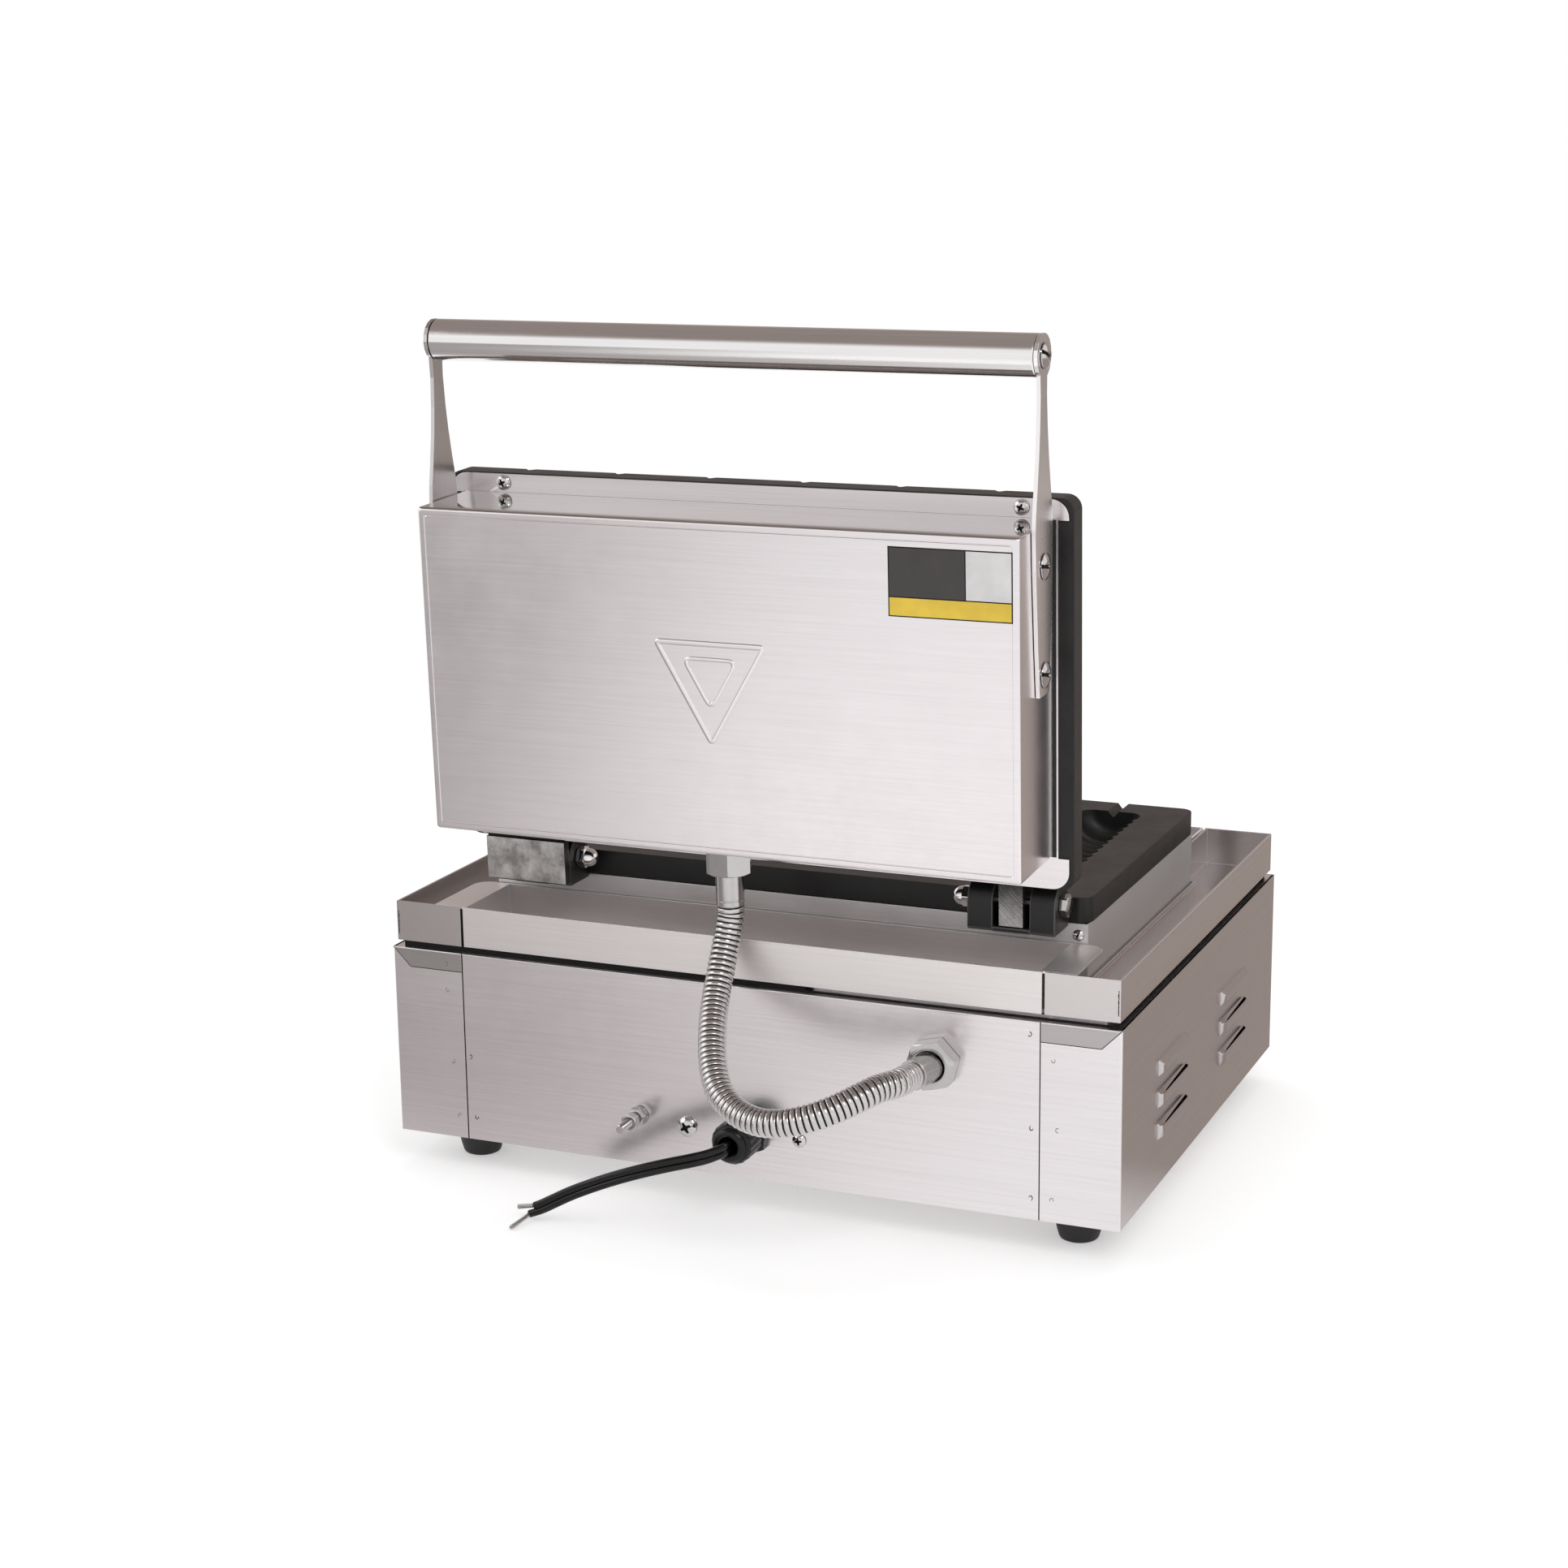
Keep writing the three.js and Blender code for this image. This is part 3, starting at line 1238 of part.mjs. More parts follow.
function lidCover() {
  const bottom = frameTop + gap;
  const through = sheet + 2 * overrun;
  let solid = coverBox(0, bottom).subtract(coverBox(sheet, bottom - overrun));
  const hoseFrom = onLidHole(-coverRear - sheet - overrun);
  solid = solid.subtract(rod(lidFitting.ferruleRadius + gap, through, hoseFrom, toRear));
  for (const side of sides) {
    for (const along of [armScrewAlong.lower, armScrewAlong.upper]) {
      const from = at(side.sign * (coverHalfWidth - sheet - overrun), -along, arm.height);
      solid = solid.subtract(rod(armScrew.radius + gap, through, from, at(side.sign, 0, 0), smallSegments));
    }
  }
  return solid;
}
add(lidGroup, 'lid_cover', lidCover(), polished);

// Handle arms: a flat tapered bar on each side of the cover, with a round eye at the tube

const armInner = coverHalfWidth + gap;
const armOuter = armInner + arm.sheet;

function armOutline() {
  const reach = tubeAlong - armFrom;
  const edge = armShares.map(([alongShare, widthShare]) => {
    return [-armFrom - alongShare * reach, widthShare * arm.halfWidth];
  });
  const near = edge.map(([y, half]) => [y, arm.height - half]);
  const far = edge.map(([y, half]) => [y, arm.height + half]).reverse();
  return [...near, ...far].reverse();
}

function armSolid(sign) {
  const outward = at(sign, 0, 0);
  const hole = (radius, along, height) => {
    const from = at(sign * (armInner - overrun), -along, height);
    return rod(radius + gap, arm.sheet + 2 * overrun, from, outward, smallSegments);
  };
  const eye = rod(tube.radius, arm.sheet, at(sign * armInner, -tubeAlong, tube.height), outward);
  const flat = acrossX(armOutline(), sign * armInner, sign * armOuter);
  return flat.add(eye)
    .subtract(hole(armScrew.radius, armScrewAlong.lower, arm.height))
    .subtract(hole(armScrew.radius, armScrewAlong.upper, arm.height))
    .subtract(hole(tubeScrew.radius, tubeAlong, tube.height));
}

for (const side of sides) {
  const outward = at(side.sign, 0, 0);
  const on = (along, height) => at(side.sign * (armOuter + gap), -along, height);
  const onFrame = frameScrewAt(side, frameTop + gap);
  const onEye = on(tubeAlong, tube.height);
  add(lidGroup, `handle_arm_${side.name}`, armSolid(side.sign), steel);
  add(lidGroup, `handle_screw_${side.name}`, screw(tubeScrew, onEye, outward), polished);
  for (const place of ['upper', 'lower']) {
    const from = on(armScrewAlong[place], arm.height);
    add(lidGroup, `arm_screw_${place}_${side.name}`, screw(armScrew, from, outward), polished);
  }
  add(lidGroup, `frame_screw_${side.name}`, screw(frameScrew, onFrame, up), polished);
}

// Handle tube: hollow, with a bored plug at each end for the arm's screw

function handleTube() {
  const half = armInner - gap;
  const inner = tube.radius - tube.wall;
  const plugEnd = half - tube.plug;
  const profile = [[tube.bore, -half], [tube.radius, -half], [tube.radius, half], [tube.bore, half],
    [tube.bore, plugEnd], [inner, plugEnd], [inner, -plugEnd], [tube.bore, -plugEnd], [tube.bore, -half]];
  return turned(profile, at(0, -tubeAlong, tube.height), at(1, 0, 0));
}
add(lidGroup, 'handle_tube', handleTube(), polished);

// The origin is under the middle of the whole object, without its hose and cord.

const loose = ['conduit_hose', 'power_cord', 'cord_wire_long', 'cord_wire_short'];
object.updateMatrixWorld(true);
const extent = new THREE.Box3();
object.traverse(node => {
  if (node.isMesh && !loose.includes(node.name)) {
    extent.union(new THREE.Box3().setFromObject(node, true));
  }
});
object.position.y = -(extent.min.y + extent.max.y) / 2;
object.updateMatrixWorld(true);

export default object;
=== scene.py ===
"""Corn dog maker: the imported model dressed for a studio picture, seen from behind with its lid open.

Base pieces are drawn in millimetres from the middle of the casing, at the height of the floor.
Lid pieces are drawn in the closed lid's own frame: origin on the hinge axis, +Y to the rear, +Z up.
"""

import json
import math

import bmesh
import bpy
from mathutils import Matrix, Vector


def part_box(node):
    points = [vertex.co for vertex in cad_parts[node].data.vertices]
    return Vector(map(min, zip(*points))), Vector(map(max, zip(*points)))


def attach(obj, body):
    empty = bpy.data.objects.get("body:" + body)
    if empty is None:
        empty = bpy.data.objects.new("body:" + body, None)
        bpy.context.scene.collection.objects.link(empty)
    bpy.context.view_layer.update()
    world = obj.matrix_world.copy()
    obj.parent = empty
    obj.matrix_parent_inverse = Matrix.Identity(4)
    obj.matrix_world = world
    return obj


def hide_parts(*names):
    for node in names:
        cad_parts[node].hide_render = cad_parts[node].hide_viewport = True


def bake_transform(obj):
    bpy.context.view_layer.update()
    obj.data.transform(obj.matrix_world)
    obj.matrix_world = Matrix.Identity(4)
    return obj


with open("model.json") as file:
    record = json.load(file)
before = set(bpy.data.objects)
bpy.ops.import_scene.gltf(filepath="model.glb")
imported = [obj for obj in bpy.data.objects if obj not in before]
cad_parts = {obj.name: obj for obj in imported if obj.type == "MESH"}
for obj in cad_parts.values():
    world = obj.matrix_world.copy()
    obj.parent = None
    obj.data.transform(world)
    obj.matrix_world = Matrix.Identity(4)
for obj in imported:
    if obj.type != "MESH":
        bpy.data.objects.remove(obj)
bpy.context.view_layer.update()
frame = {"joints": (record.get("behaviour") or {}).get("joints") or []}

# Frames and units

MM = 0.001
JOIN_DISTANCE = 0.000002

pan_low, pan_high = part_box("bottom_pan")
casing_middle = (pan_low[1] + pan_high[1]) / 2
ON_BASE = Matrix.Translation((0, casing_middle, 0)) @ Matrix.Scale(MM, 4)
lid_hinge = next(joint for joint in frame["joints"] if joint["name"] == "lid_hinge")
open_angle = math.radians(lid_hinge["range_deg"][1])
LID_TURN = Matrix.Translation(lid_hinge["pos_m"]) @ Matrix.Rotation(-open_angle, 4, "X")
ON_LID = LID_TURN @ Matrix.Scale(MM, 4)

X_AXIS = Vector((1, 0, 0))
Y_AXIS = Vector((0, 1, 0))
Z_AXIS = Vector((0, 0, 1))

# Sizes that the CAD model gives, in millimetres

HALF_WIDTH = 205.0
HALF_DEPTH = 153.5
PANEL_LOW = 20.0
PANEL_HIGH = 124.8
SHEET = 1.2
SEAM = 162.8
PLATE_HALF = 170.5
PLATE_REAR = 97.5
PLATE_BOTTOM = 160.25
PLATE_TOP = 173.65
PLATE_DEPTH = 197.5
PLATE_THICKNESS = 13.4
AXIS_ALONG = 110.0
AXIS_HEIGHT = 172.7
REAR_FROM_AXIS = 12.5
PARTING = 1.35
CAVITY_PITCH = 51.6
HINGE_CENTRE = 136.0
TRAY_BOTTOM = 128.0
OUTSIDE = 153.8
ENDS = (("front", -1), ("rear", 1))
SIDES = (("left", -1), ("right", 1))


def smoothstep(low, high, value):
    t = min(1.0, max(0.0, (value - low) / (high - low)))
    return t * t * (3 - 2 * t)


# Materials


def add_node(tree, kind, values):
    """A new node whose inputs take a value each, or the output that feeds them."""
    node = tree.nodes.new(kind)
    for name, value in values.items():
        if isinstance(value, bpy.types.NodeSocket):
            tree.links.new(value, node.inputs[name])
        else:
            node.inputs[name].default_value = value
    return node


class Shader:
    """A principled material with the few helper nodes that its surface needs."""

    def __init__(self, name, color, roughness, metallic=0.0):
        self.material = bpy.data.materials.new(name)
        self.material.use_nodes = True
        self.material.diffuse_color = (*color, 1)
        self.tree = self.material.node_tree
        self.surface = self.tree.nodes["Principled BSDF"]
        self.surface.inputs["Base Color"].default_value = (*color, 1)
        self.surface.inputs["Roughness"].default_value = roughness
        self.surface.inputs["Metallic"].default_value = metallic
        self.place = self.tree.nodes.new("ShaderNodeTexCoord").outputs["Object"]
        self.normal = None

    def noise(self, scale, detail=3.0, rough=0.55, stretch=(1, 1, 1)):
        """Noise over the object's own coordinates, in metres, stretched along an axis."""
        mapping = add_node(self.tree, "ShaderNodeMapping", {"Vector": self.place, "Scale": stretch})
        values = {"Vector": mapping.outputs["Vector"], "Scale": scale, "Detail": detail, "Roughness": rough}
        return add_node(self.tree, "ShaderNodeTexNoise", values).outputs["Fac"]

    def tint(self, source, dark, light, start=0.3, end=0.7):
        """The base colour from dark to light as the source goes from start to end."""
        ramp = add_node(self.tree, "ShaderNodeValToRGB", {"Fac": source})
        for element, position, color in zip(ramp.color_ramp.elements, (start, end), (dark, light)):
            element.position = position
            element.color = (*color, 1)
        self.tree.links.new(ramp.outputs["Color"], self.surface.inputs["Base Color"])

    def rough(self, source, low, high, start=0.3, end=0.7):
        """The roughness from low to high as the source goes from start to end."""
        values = {"Value": source, "From Min": start, "From Max": end, "To Min": low, "To Max": high}
        spread = add_node(self.tree, "ShaderNodeMapRange", values)
        self.tree.links.new(spread.outputs["Result"], self.surface.inputs["Roughness"])

    def bump(self, source, distance):
        """Relief of a height in metres; several calls lie one on the other."""
        values = {"Height": source, "Distance": distance, "Strength": 1.0}
        node = add_node(self.tree, "ShaderNodeBump", values)
        if self.normal:
            self.tree.links.new(self.normal, node.inputs["Normal"])
        self.normal = node.outputs["Normal"]
        self.tree.links.new(self.normal, self.surface.inputs["Normal"])


def steel(name, color, roughness, grain, grain_height, wave_height, spread=0.03, metallic=1.0):
    """Stainless sheet: fine drawn grain along one axis, soft waves in the sheet and faint handling marks."""
    shader = Shader(name, color, roughness, metallic)
    streaks = shader.noise(1.0, detail=4, rough=0.6, stretch=grain)
    clouds = shader.noise(9.0, detail=2)
    smears = shader.noise(38.0, detail=5, rough=0.7)
    light = tuple(min(1.0, c * 1.035) for c in color)
    dark = tuple(c * 0.955 for c in color)
    shader.tint(streaks, dark, light, 0.25, 0.75)
    shader.rough(smears, roughness - spread, roughness + spread, 0.3, 0.75)
    shader.bump(clouds, wave_height)
    if grain_height:
        shader.bump(streaks, grain_height)
    return shader.material


GRAIN_X = (14, 900, 900)
GRAIN_Y = (900, 14, 900)
GRAIN_Z = (900, 900, 14)
FINE_GRAIN = 0.0000015
STEEL = (0.79, 0.75, 0.76)

satin = steel("stainless_satin", STEEL, 0.24, GRAIN_X, FINE_GRAIN, 0.00006)
# The side panels' steel: a darker copy of the satin, painted shade on the sides turned away from the light
satin_side_painted_shade = steel("stainless_satin_side", (0.56, 0.53, 0.53), 0.24, GRAIN_Y, FINE_GRAIN, 0.00006)
strip_steel = steel("stainless_strip", (0.46, 0.435, 0.43), 0.3, GRAIN_X, FINE_GRAIN, 0.00004)
tray_steel = steel("stainless_tray", (0.62, 0.585, 0.58), 0.22, GRAIN_Y, FINE_GRAIN, 0.00005, 0.02)
# The rims of trays and pans: a pale, nearly non-metallic copy of the steel, a painted highlight along the
# edges
rim_painted_highlight = steel("stainless_rim_painted_highlight", (0.86, 0.83, 0.83), 0.35, GRAIN_Y, 0.0, 0.00002, 0.02, 0.1)
pan_steel = steel("stainless_pan", (0.78, 0.74, 0.735), 0.34, GRAIN_X, FINE_GRAIN, 0.00008, metallic=0.82)
# The two handle arms are one steel, painted lighter on the left arm and darker on the right: painted light
# and painted shade
arm_steel_painted_light = steel("stainless_arm_painted_light", (0.9, 0.87, 0.865), 0.28, GRAIN_Z, 0.0, 0.00003, 0.015)
arm_steel_painted_shade = steel("stainless_arm_painted_shade", (0.62, 0.595, 0.59), 0.28, GRAIN_Z, 0.0, 0.00003, 0.015)
coarse = steel("stainless_coarse", (0.76, 0.735, 0.73), 0.4, (40, 1300, 520), 0.00001, 0.0001, 0.08, 0.66)
polished = steel("steel_polished", (0.8, 0.775, 0.775), 0.08, GRAIN_X, 0.0, 0.00005, 0.02)
# A darker, glossier copy of the satin for the cover's front end wall: painted shade on that face
mirror_steel_painted_shade = steel("steel_mirror_painted_shade", (0.52, 0.5, 0.495), 0.06, GRAIN_X, 0.0, 0.00003, 0.01)
hose_steel = steel("steel_hose", (0.6, 0.58, 0.575), 0.2, GRAIN_X, 0.0, 0.00005, 0.04)
tube_steel = steel("steel_tube", (0.83, 0.81, 0.81), 0.13, GRAIN_X, FINE_GRAIN, 0.0001, 0.03)
zinc = steel("steel_zinc", (0.5, 0.485, 0.48), 0.14, (300, 300, 300), 0.000003, 0.00002, 0.05)
screw_steel = steel("steel_screw", (0.62, 0.6, 0.6), 0.12, (300, 300, 300), 0.000002, 0.00002, 0.04)


def casting_bare():
    """A ground face of the casting: dull metal with smeared lighter and darker patches."""
    shader = Shader("casting_bare", (0.4, 0.385, 0.38), 0.42, metallic=1.0)
    patches = shader.noise(85.0, detail=6, rough=0.62)
    shader.tint(patches, (0.3, 0.285, 0.28), (0.62, 0.6, 0.59), 0.38, 0.62)
    shader.rough(patches, 0.3, 0.55)
    shader.bump(shader.noise(120.0, detail=3), 0.00035)
    shader.bump(shader.noise(900.0, detail=3), 0.00003)
    return shader.material


bare = casting_bare()


def cast_black():
    """Coated casting: sandy skin, greyer where the coat is rubbed."""
    shader = Shader("cast_plate_black", (0.012, 0.011, 0.0105), 0.5, metallic=0.0)
    sand = shader.noise(1500.0, detail=3, rough=0.7)
    patches = shader.noise(60.0, detail=4)
    shader.tint(patches, (0.009, 0.0082, 0.008), (0.017, 0.0155, 0.015))
    shader.rough(patches, 0.36, 0.46)
    shader.bump(shader.noise(14.0, detail=2), 0.0003)
    shader.bump(sand, 0.00004)
    shader.surface.inputs["Specular IOR Level"].default_value = 0.36
    return shader.material


def plain(name, color, roughness, grain=900.0, height=0.00002, light=1.25, specular=0.5):
    """Moulded rubber, plastic or print: fine skin texture and a slight unevenness of colour."""
    shader = Shader(name, color, roughness)
    skin = shader.noise(grain, detail=3)
    cloud = shader.noise(70.0, detail=3)
    shader.tint(cloud, tuple(c * 0.85 for c in color), tuple(min(1.0, c * light) for c in color))
    shader.rough(cloud, max(0.03, roughness - 0.06), roughness + 0.06)
    shader.bump(skin, height)
    shader.surface.inputs["Specular IOR Level"].default_value = specular
    return shader.material


cast = cast_black()
# Grey for the castings' rounded edges: partly the coat worn through, partly a painted highlight
cast_worn_and_highlight = plain("cast_worn_edge", (0.075, 0.068, 0.066), 0.4)
rubber = plain("foot_rubber", (0.016, 0.015, 0.015), 0.6)
cord_skin = plain("cord_jacket", (0.005, 0.005, 0.005), 0.2, 500.0, 0.00001, specular=0.3)
plastic = plain("black_plastic", (0.006, 0.006, 0.006), 0.22, 1200.0, 0.00001, specular=0.3)
ceramic = plain("ceramic_white", (0.74, 0.7, 0.62), 0.45)
# Near-black for seams, weld lines and print, and as painted shade in the hose's grooves, screw recesses and
# the gap under the trays
seam_dark_and_painted_shade = plain("seam_dark_and_painted_shade", (0.012, 0.011, 0.011), 0.6, specular=0.15)
weld_grey = plain("weld_grey", (0.16, 0.15, 0.147), 0.45)
label_yellow = plain("label_yellow", (0.86, 0.6, 0.06), 0.35, 1600.0, 0.000005, 1.04)
label_dark = plain("label_dark", (0.045, 0.038, 0.038), 0.35, 1600.0, 0.000005, 1.1)
label_white = plain("label_white", (0.8, 0.78, 0.78), 0.35, 1600.0, 0.000005, 1.03)
mark_white = plain("mark_white", (0.75, 0.75, 0.74), 0.4)
red_lens = plain("lens_red", (0.55, 0.02, 0.015), 0.12, 300.0, 0.00001)
green_lens = plain("lens_green", (0.02, 0.35, 0.07), 0.12, 300.0, 0.00001)

# Forms: points and faces gathered for one piece, in millimetres


class Form:
    """Points and faces, each face with a material slot."""

    def __init__(self):
        self.points = []
        self.faces = []
        self.slots = []

    def face(self, corners, slot=0):
        first = len(self.points)
        self.points.extend(Vector(p) for p in corners)
        self.faces.append(list(range(first, first + len(corners))))
        self.slots.append(slot)

    def net(self, rows, closed=True, slot=0):
        """Quads between rows of as many points each; slot is a number or a function of the row."""
        first = len(self.points)
        count = len(rows[0])
        for row in rows:
            self.points.extend(Vector(p) for p in row)
        for i in range(len(rows) - 1):
            chosen = slot(i) if callable(slot) else slot
            for j in range(count if closed else count - 1):
                k = (j + 1) % count
                a = first + i * count
                self.faces.append([a + j, a + k, a + count + k, a + count + j])
                self.slots.append(chosen)

    def prism(self, outline, axis, low, high, slot=0):
        """An outline of pairs run along an axis: the pair gives the other two coordinates in order."""
        def lift(pair, value):
            spot = list(pair)
            spot.insert(axis, value)
            return spot
        near = [lift(pair, low) for pair in outline]
        far = [lift(pair, high) for pair in outline]
        self.net([near, far], slot=slot)
        self.face(near, slot)
        self.face(far, slot)

    def slab(self, x0, x1, y0, y1, z0, z1, slot=0):
        self.prism([(x0, y0), (x1, y0), (x1, y1), (x0, y1)], 2, z0, z1, slot)

    def turned(self, profile, origin, axis, steps=48, slot=0):
        """A profile of (radius, distance) turned about an axis from an origin."""
        self.net([polar_ring(origin, axis, along, radius, steps) for radius, along in profile], slot=slot)

    def made(self, name, materials, body, world=ON_BASE, crease=32.0):
        """The finished object, riding on a body."""
        grid = bmesh.new()
        spots = [grid.verts.new(world @ p) for p in self.points]
        for corners, slot in zip(self.faces, self.slots):
            try:
                made_face = grid.faces.new([spots[i] for i in corners])
                made_face.material_index = slot
            except ValueError:
                continue
        bmesh.ops.remove_doubles(grid, verts=grid.verts, dist=JOIN_DISTANCE)
        bmesh.ops.dissolve_degenerate(grid, edges=grid.edges, dist=1e-7)
        bmesh.ops.recalc_face_normals(grid, faces=grid.faces)
        mesh = bpy.data.meshes.new(name)
        grid.to_mesh(mesh)
        grid.free()
        for material in materials:
            mesh.materials.append(material)
        mesh.shade_smooth()
        mesh.set_sharp_from_angle(angle=math.radians(crease))
        piece = bpy.data.objects.new(name, mesh)
        bpy.context.scene.collection.objects.link(piece)
        if body:
            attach(piece, body)
        return piece

    def piece(self, name, materials, body, slot, node=None, crease=32.0):
        """The finished object, in place of a CAD node where one is named; the slot argument is not used."""
        piece = self.made(name, materials, body, ON_LID if body == "lid" else ON_BASE, crease)
        if node:
            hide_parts(node)
        return piece


def across(axis):
    """Two directions square to an axis and to each other."""
    axis = Vector(axis).normalized()
    first = Z_AXIS if abs(axis.z) < 0.9 else X_AXIS
    side = axis.cross(first).normalized()
    return axis, side, side.cross(axis).normalized()


def ring_point(centre, side, up, radius, angle):
    """A point round a centre, in the plane of two directions."""
    return centre + side * (radius * math.cos(angle)) + up * (radius * math.sin(angle))


def ring_about(centre, side, up, radius, steps):
    return [ring_point(centre, side, up, radius, 2 * math.pi * i / steps) for i in range(steps)]


def polar_ring(origin, axis, along, radius, steps):
    """Points round an axis, at a distance and a radius that are numbers or functions of the angle."""
    axis, side, up = across(axis)
    ring = []
    for i in range(steps):
        angle = 2 * math.pi * i / steps
        distance, reach = (value(angle) if callable(value) else value for value in (along, radius))
        ring.append(ring_point(Vector(origin) + axis * distance, side, up, reach, angle))
    return ring


def arc(x, y, radius, start, stop, steps):
    """Points of an arc about (x, y), from one angle to another in degrees."""
    angles = [math.radians(start + (stop - start) * i / steps) for i in range(steps + 1)]
    return [(x + radius * math.cos(angle), y + radius * math.sin(angle)) for angle in angles]


def rounded_loop(x, y0, y1, corner, z, steps):
    """A rectangle with rounded corners, from -x to x and from y0 to y1, at a height."""
    centres = ((x - corner, y1 - corner, 0), (-x + corner, y1 - corner, 90),
               (-x + corner, y0 + corner, 180), (x - corner, y0 + corner, 270))
    return [(*spot, z) for cx, cy, start in centres for spot in arc(cx, cy, corner, start, start + 90, steps)]


def bevelled(piece, width, segments=2, angle=40.0, slot=-1):
    """Rounded edges, whose width is in millimetres, with a material slot of their own where one is given."""
    modifier = piece.modifiers.new("edges", "BEVEL")
    modifier.width = width * MM
    modifier.segments = segments
    modifier.limit_method = "ANGLE"
    modifier.angle_limit = math.radians(angle)
    modifier.harden_normals = True
    modifier.miter_outer = "MITER_ARC"
    modifier.material = slot


def flat_faces_first(piece):
    """Large flat faces keep their own direction up to their borders."""
    modifier = piece.modifiers.new("normals", "WEIGHTED_NORMAL")
    modifier.weight = 90
    modifier.keep_sharp = True


def thicken(piece, thickness):
    """A sheet of a thickness in millimetres, inwards from the drawn faces."""
    modifier = piece.modifiers.new("sheet", "SOLIDIFY")
    modifier.thickness = thickness * MM
    modifier.offset = -1
    flat_faces_first(piece)


def dressed(node, material, width=0.3, segments=2, rim=None, windowed=False):
    """A CAD node kept, with its edges rounded and a better material, and where one is given, a brighter one
    on its rounded rims as a painted highlight.

    Its flat faces are joined first, unless one of them goes right round a window.
    """
    piece = bpy.data.objects[node]
    weld = piece.modifiers.new("weld", "WELD")
    weld.merge_threshold = JOIN_DISTANCE
    if not windowed:
        flat = piece.modifiers.new("flat", "DECIMATE")
        flat.decimate_type = "DISSOLVE"
        flat.angle_limit = math.radians(1.0)
    for slot in piece.material_slots:
        slot.material = material
    if rim:
        piece.data.materials.append(rim)
    if width:
        bevelled(piece, width, segments, 35.0, len(piece.material_slots) - 1 if rim else -1)


def hexagon(form, apothem, height, chamfer, origin, axis, turn=0.0, bore=0.0, both=False):
    """A hexagonal nut or head, its corners turned down at the far end, or at both, and an open bore."""
    side_angle = math.pi / 3
    slope = math.tan(math.radians(30))
    lip = apothem - chamfer * 0.35

    def reach(angle):
        return apothem / math.cos((angle + math.radians(turn)) % side_angle - side_angle / 2)

    def lipped(angle):
        return min(lip, reach(angle))

    def turned_down(angle):
        return max(0.0, reach(angle) - lip) * slope

    def top(angle):
        return height - turned_down(angle)

    profile = [(0.0, bore)]
    if both:
        profile.append((0.0, lipped))
    profile += [(turned_down if both else 0.0, reach), (top, reach), (height, lipped)]
    if bore:
        profile += [(height, bore + 0.5), (height - 0.5, bore), (0.0, bore)]
    else:
        profile.append((height, 0.0))
    form.net([polar_ring(origin, axis, along, radius, 72) for along, radius in profile])


def screw_head(form, origin, axis, radius, height, recess, turn=0.0, slot=0, dark=1):
    """A domed head with a cross or a slot pressed into it, as a net of rings; the recess's faces take the
    dark slot, a painted shade.
    """
    steps = 72
    rings = 26
    turn = math.radians(turn)
    depth = height * 0.55
    half = radius * (0.13 if recess == "cross" else 0.1)
    reach = radius * (0.56 if recess == "cross" else 1.3)

    def arm(u, v):
        wide = half * (1.35 - 0.7 * min(1.0, abs(u) / reach))
        side_wall = 1 - smoothstep(wide * 0.75, wide * 1.25, abs(v))
        return side_wall * (1 - smoothstep(reach * 0.85, reach * 1.05, abs(u)))

    def sunk(r, angle):
        x = r * math.cos(angle + turn)
        y = r * math.sin(angle + turn)
        value = arm(x, y)
        if recess == "cross":
            value = max(value, arm(y, x), 1 - smoothstep(half * 1.2, half * 2.4, math.hypot(x, y)))
        return value

    def ring_radius(i):
        return radius * (1 - (1 - i / rings) ** 1.15)

    rows = []
    for i in range(rings + 1):
        r = ring_radius(i)
        crown = height * (1 - (r / radius) ** 2.6 * 0.72)
        rows.append(polar_ring(origin, axis, lambda angle: crown - depth * sunk(r, angle), r, steps))
    for along, r in ((height * 0.1, radius), (0.0, radius * 0.97), (0.0, 0.0)):
        rows.append(polar_ring(origin, axis, along, r, steps))
    first = len(form.faces)
    form.net(rows, slot=slot)
    # The faces inside the recess take the dark slot: painted shade
    for i in range(rings):
        for j in range(steps):
            if sunk(ring_radius(i + 0.5), 2 * math.pi * (j + 0.5) / steps) > 0.5:
                form.slots[first + i * steps + j] = dark


# The camera, at the photograph's angle

camera_data = bpy.data.cameras.new("camera")
camera_data.lens = 67.31
camera_data.sensor_width = 36.0
camera_data.shift_x = -0.00338
camera_data.shift_y = 0.0018
camera = bpy.data.objects.new("camera", camera_data)
bpy.context.scene.collection.objects.link(camera)
yaw = math.radians(23.1)
pitch = math.radians(13.73)
roll = math.radians(-0.72)
forward = Vector((math.sin(yaw) * math.cos(pitch), -math.cos(yaw) * math.cos(pitch), -math.sin(pitch)))
level = forward.cross(Z_AXIS).normalized()
upright = level.cross(forward)
camera_x = level * math.cos(roll) + upright * math.sin(roll)
camera_y = upright * math.cos(roll) - level * math.sin(roll)
turned_camera = Matrix((camera_x, camera_y, -forward)).transposed().to_4x4()
camera_place = ON_BASE @ Vector((-590.92, 1469.63, 582.76))
camera.matrix_world = Matrix.Translation(camera_place) @ turned_camera
bpy.context.scene.camera = camera

# Routes: a centripetal Catmull-Rom curve, resampled to even steps


def between(p, q, start, end, t):
    """The point at t on the line that is at p for start and at q for end."""
    return p * ((end - t) / (end - start)) + q * ((t - start) / (end - start))


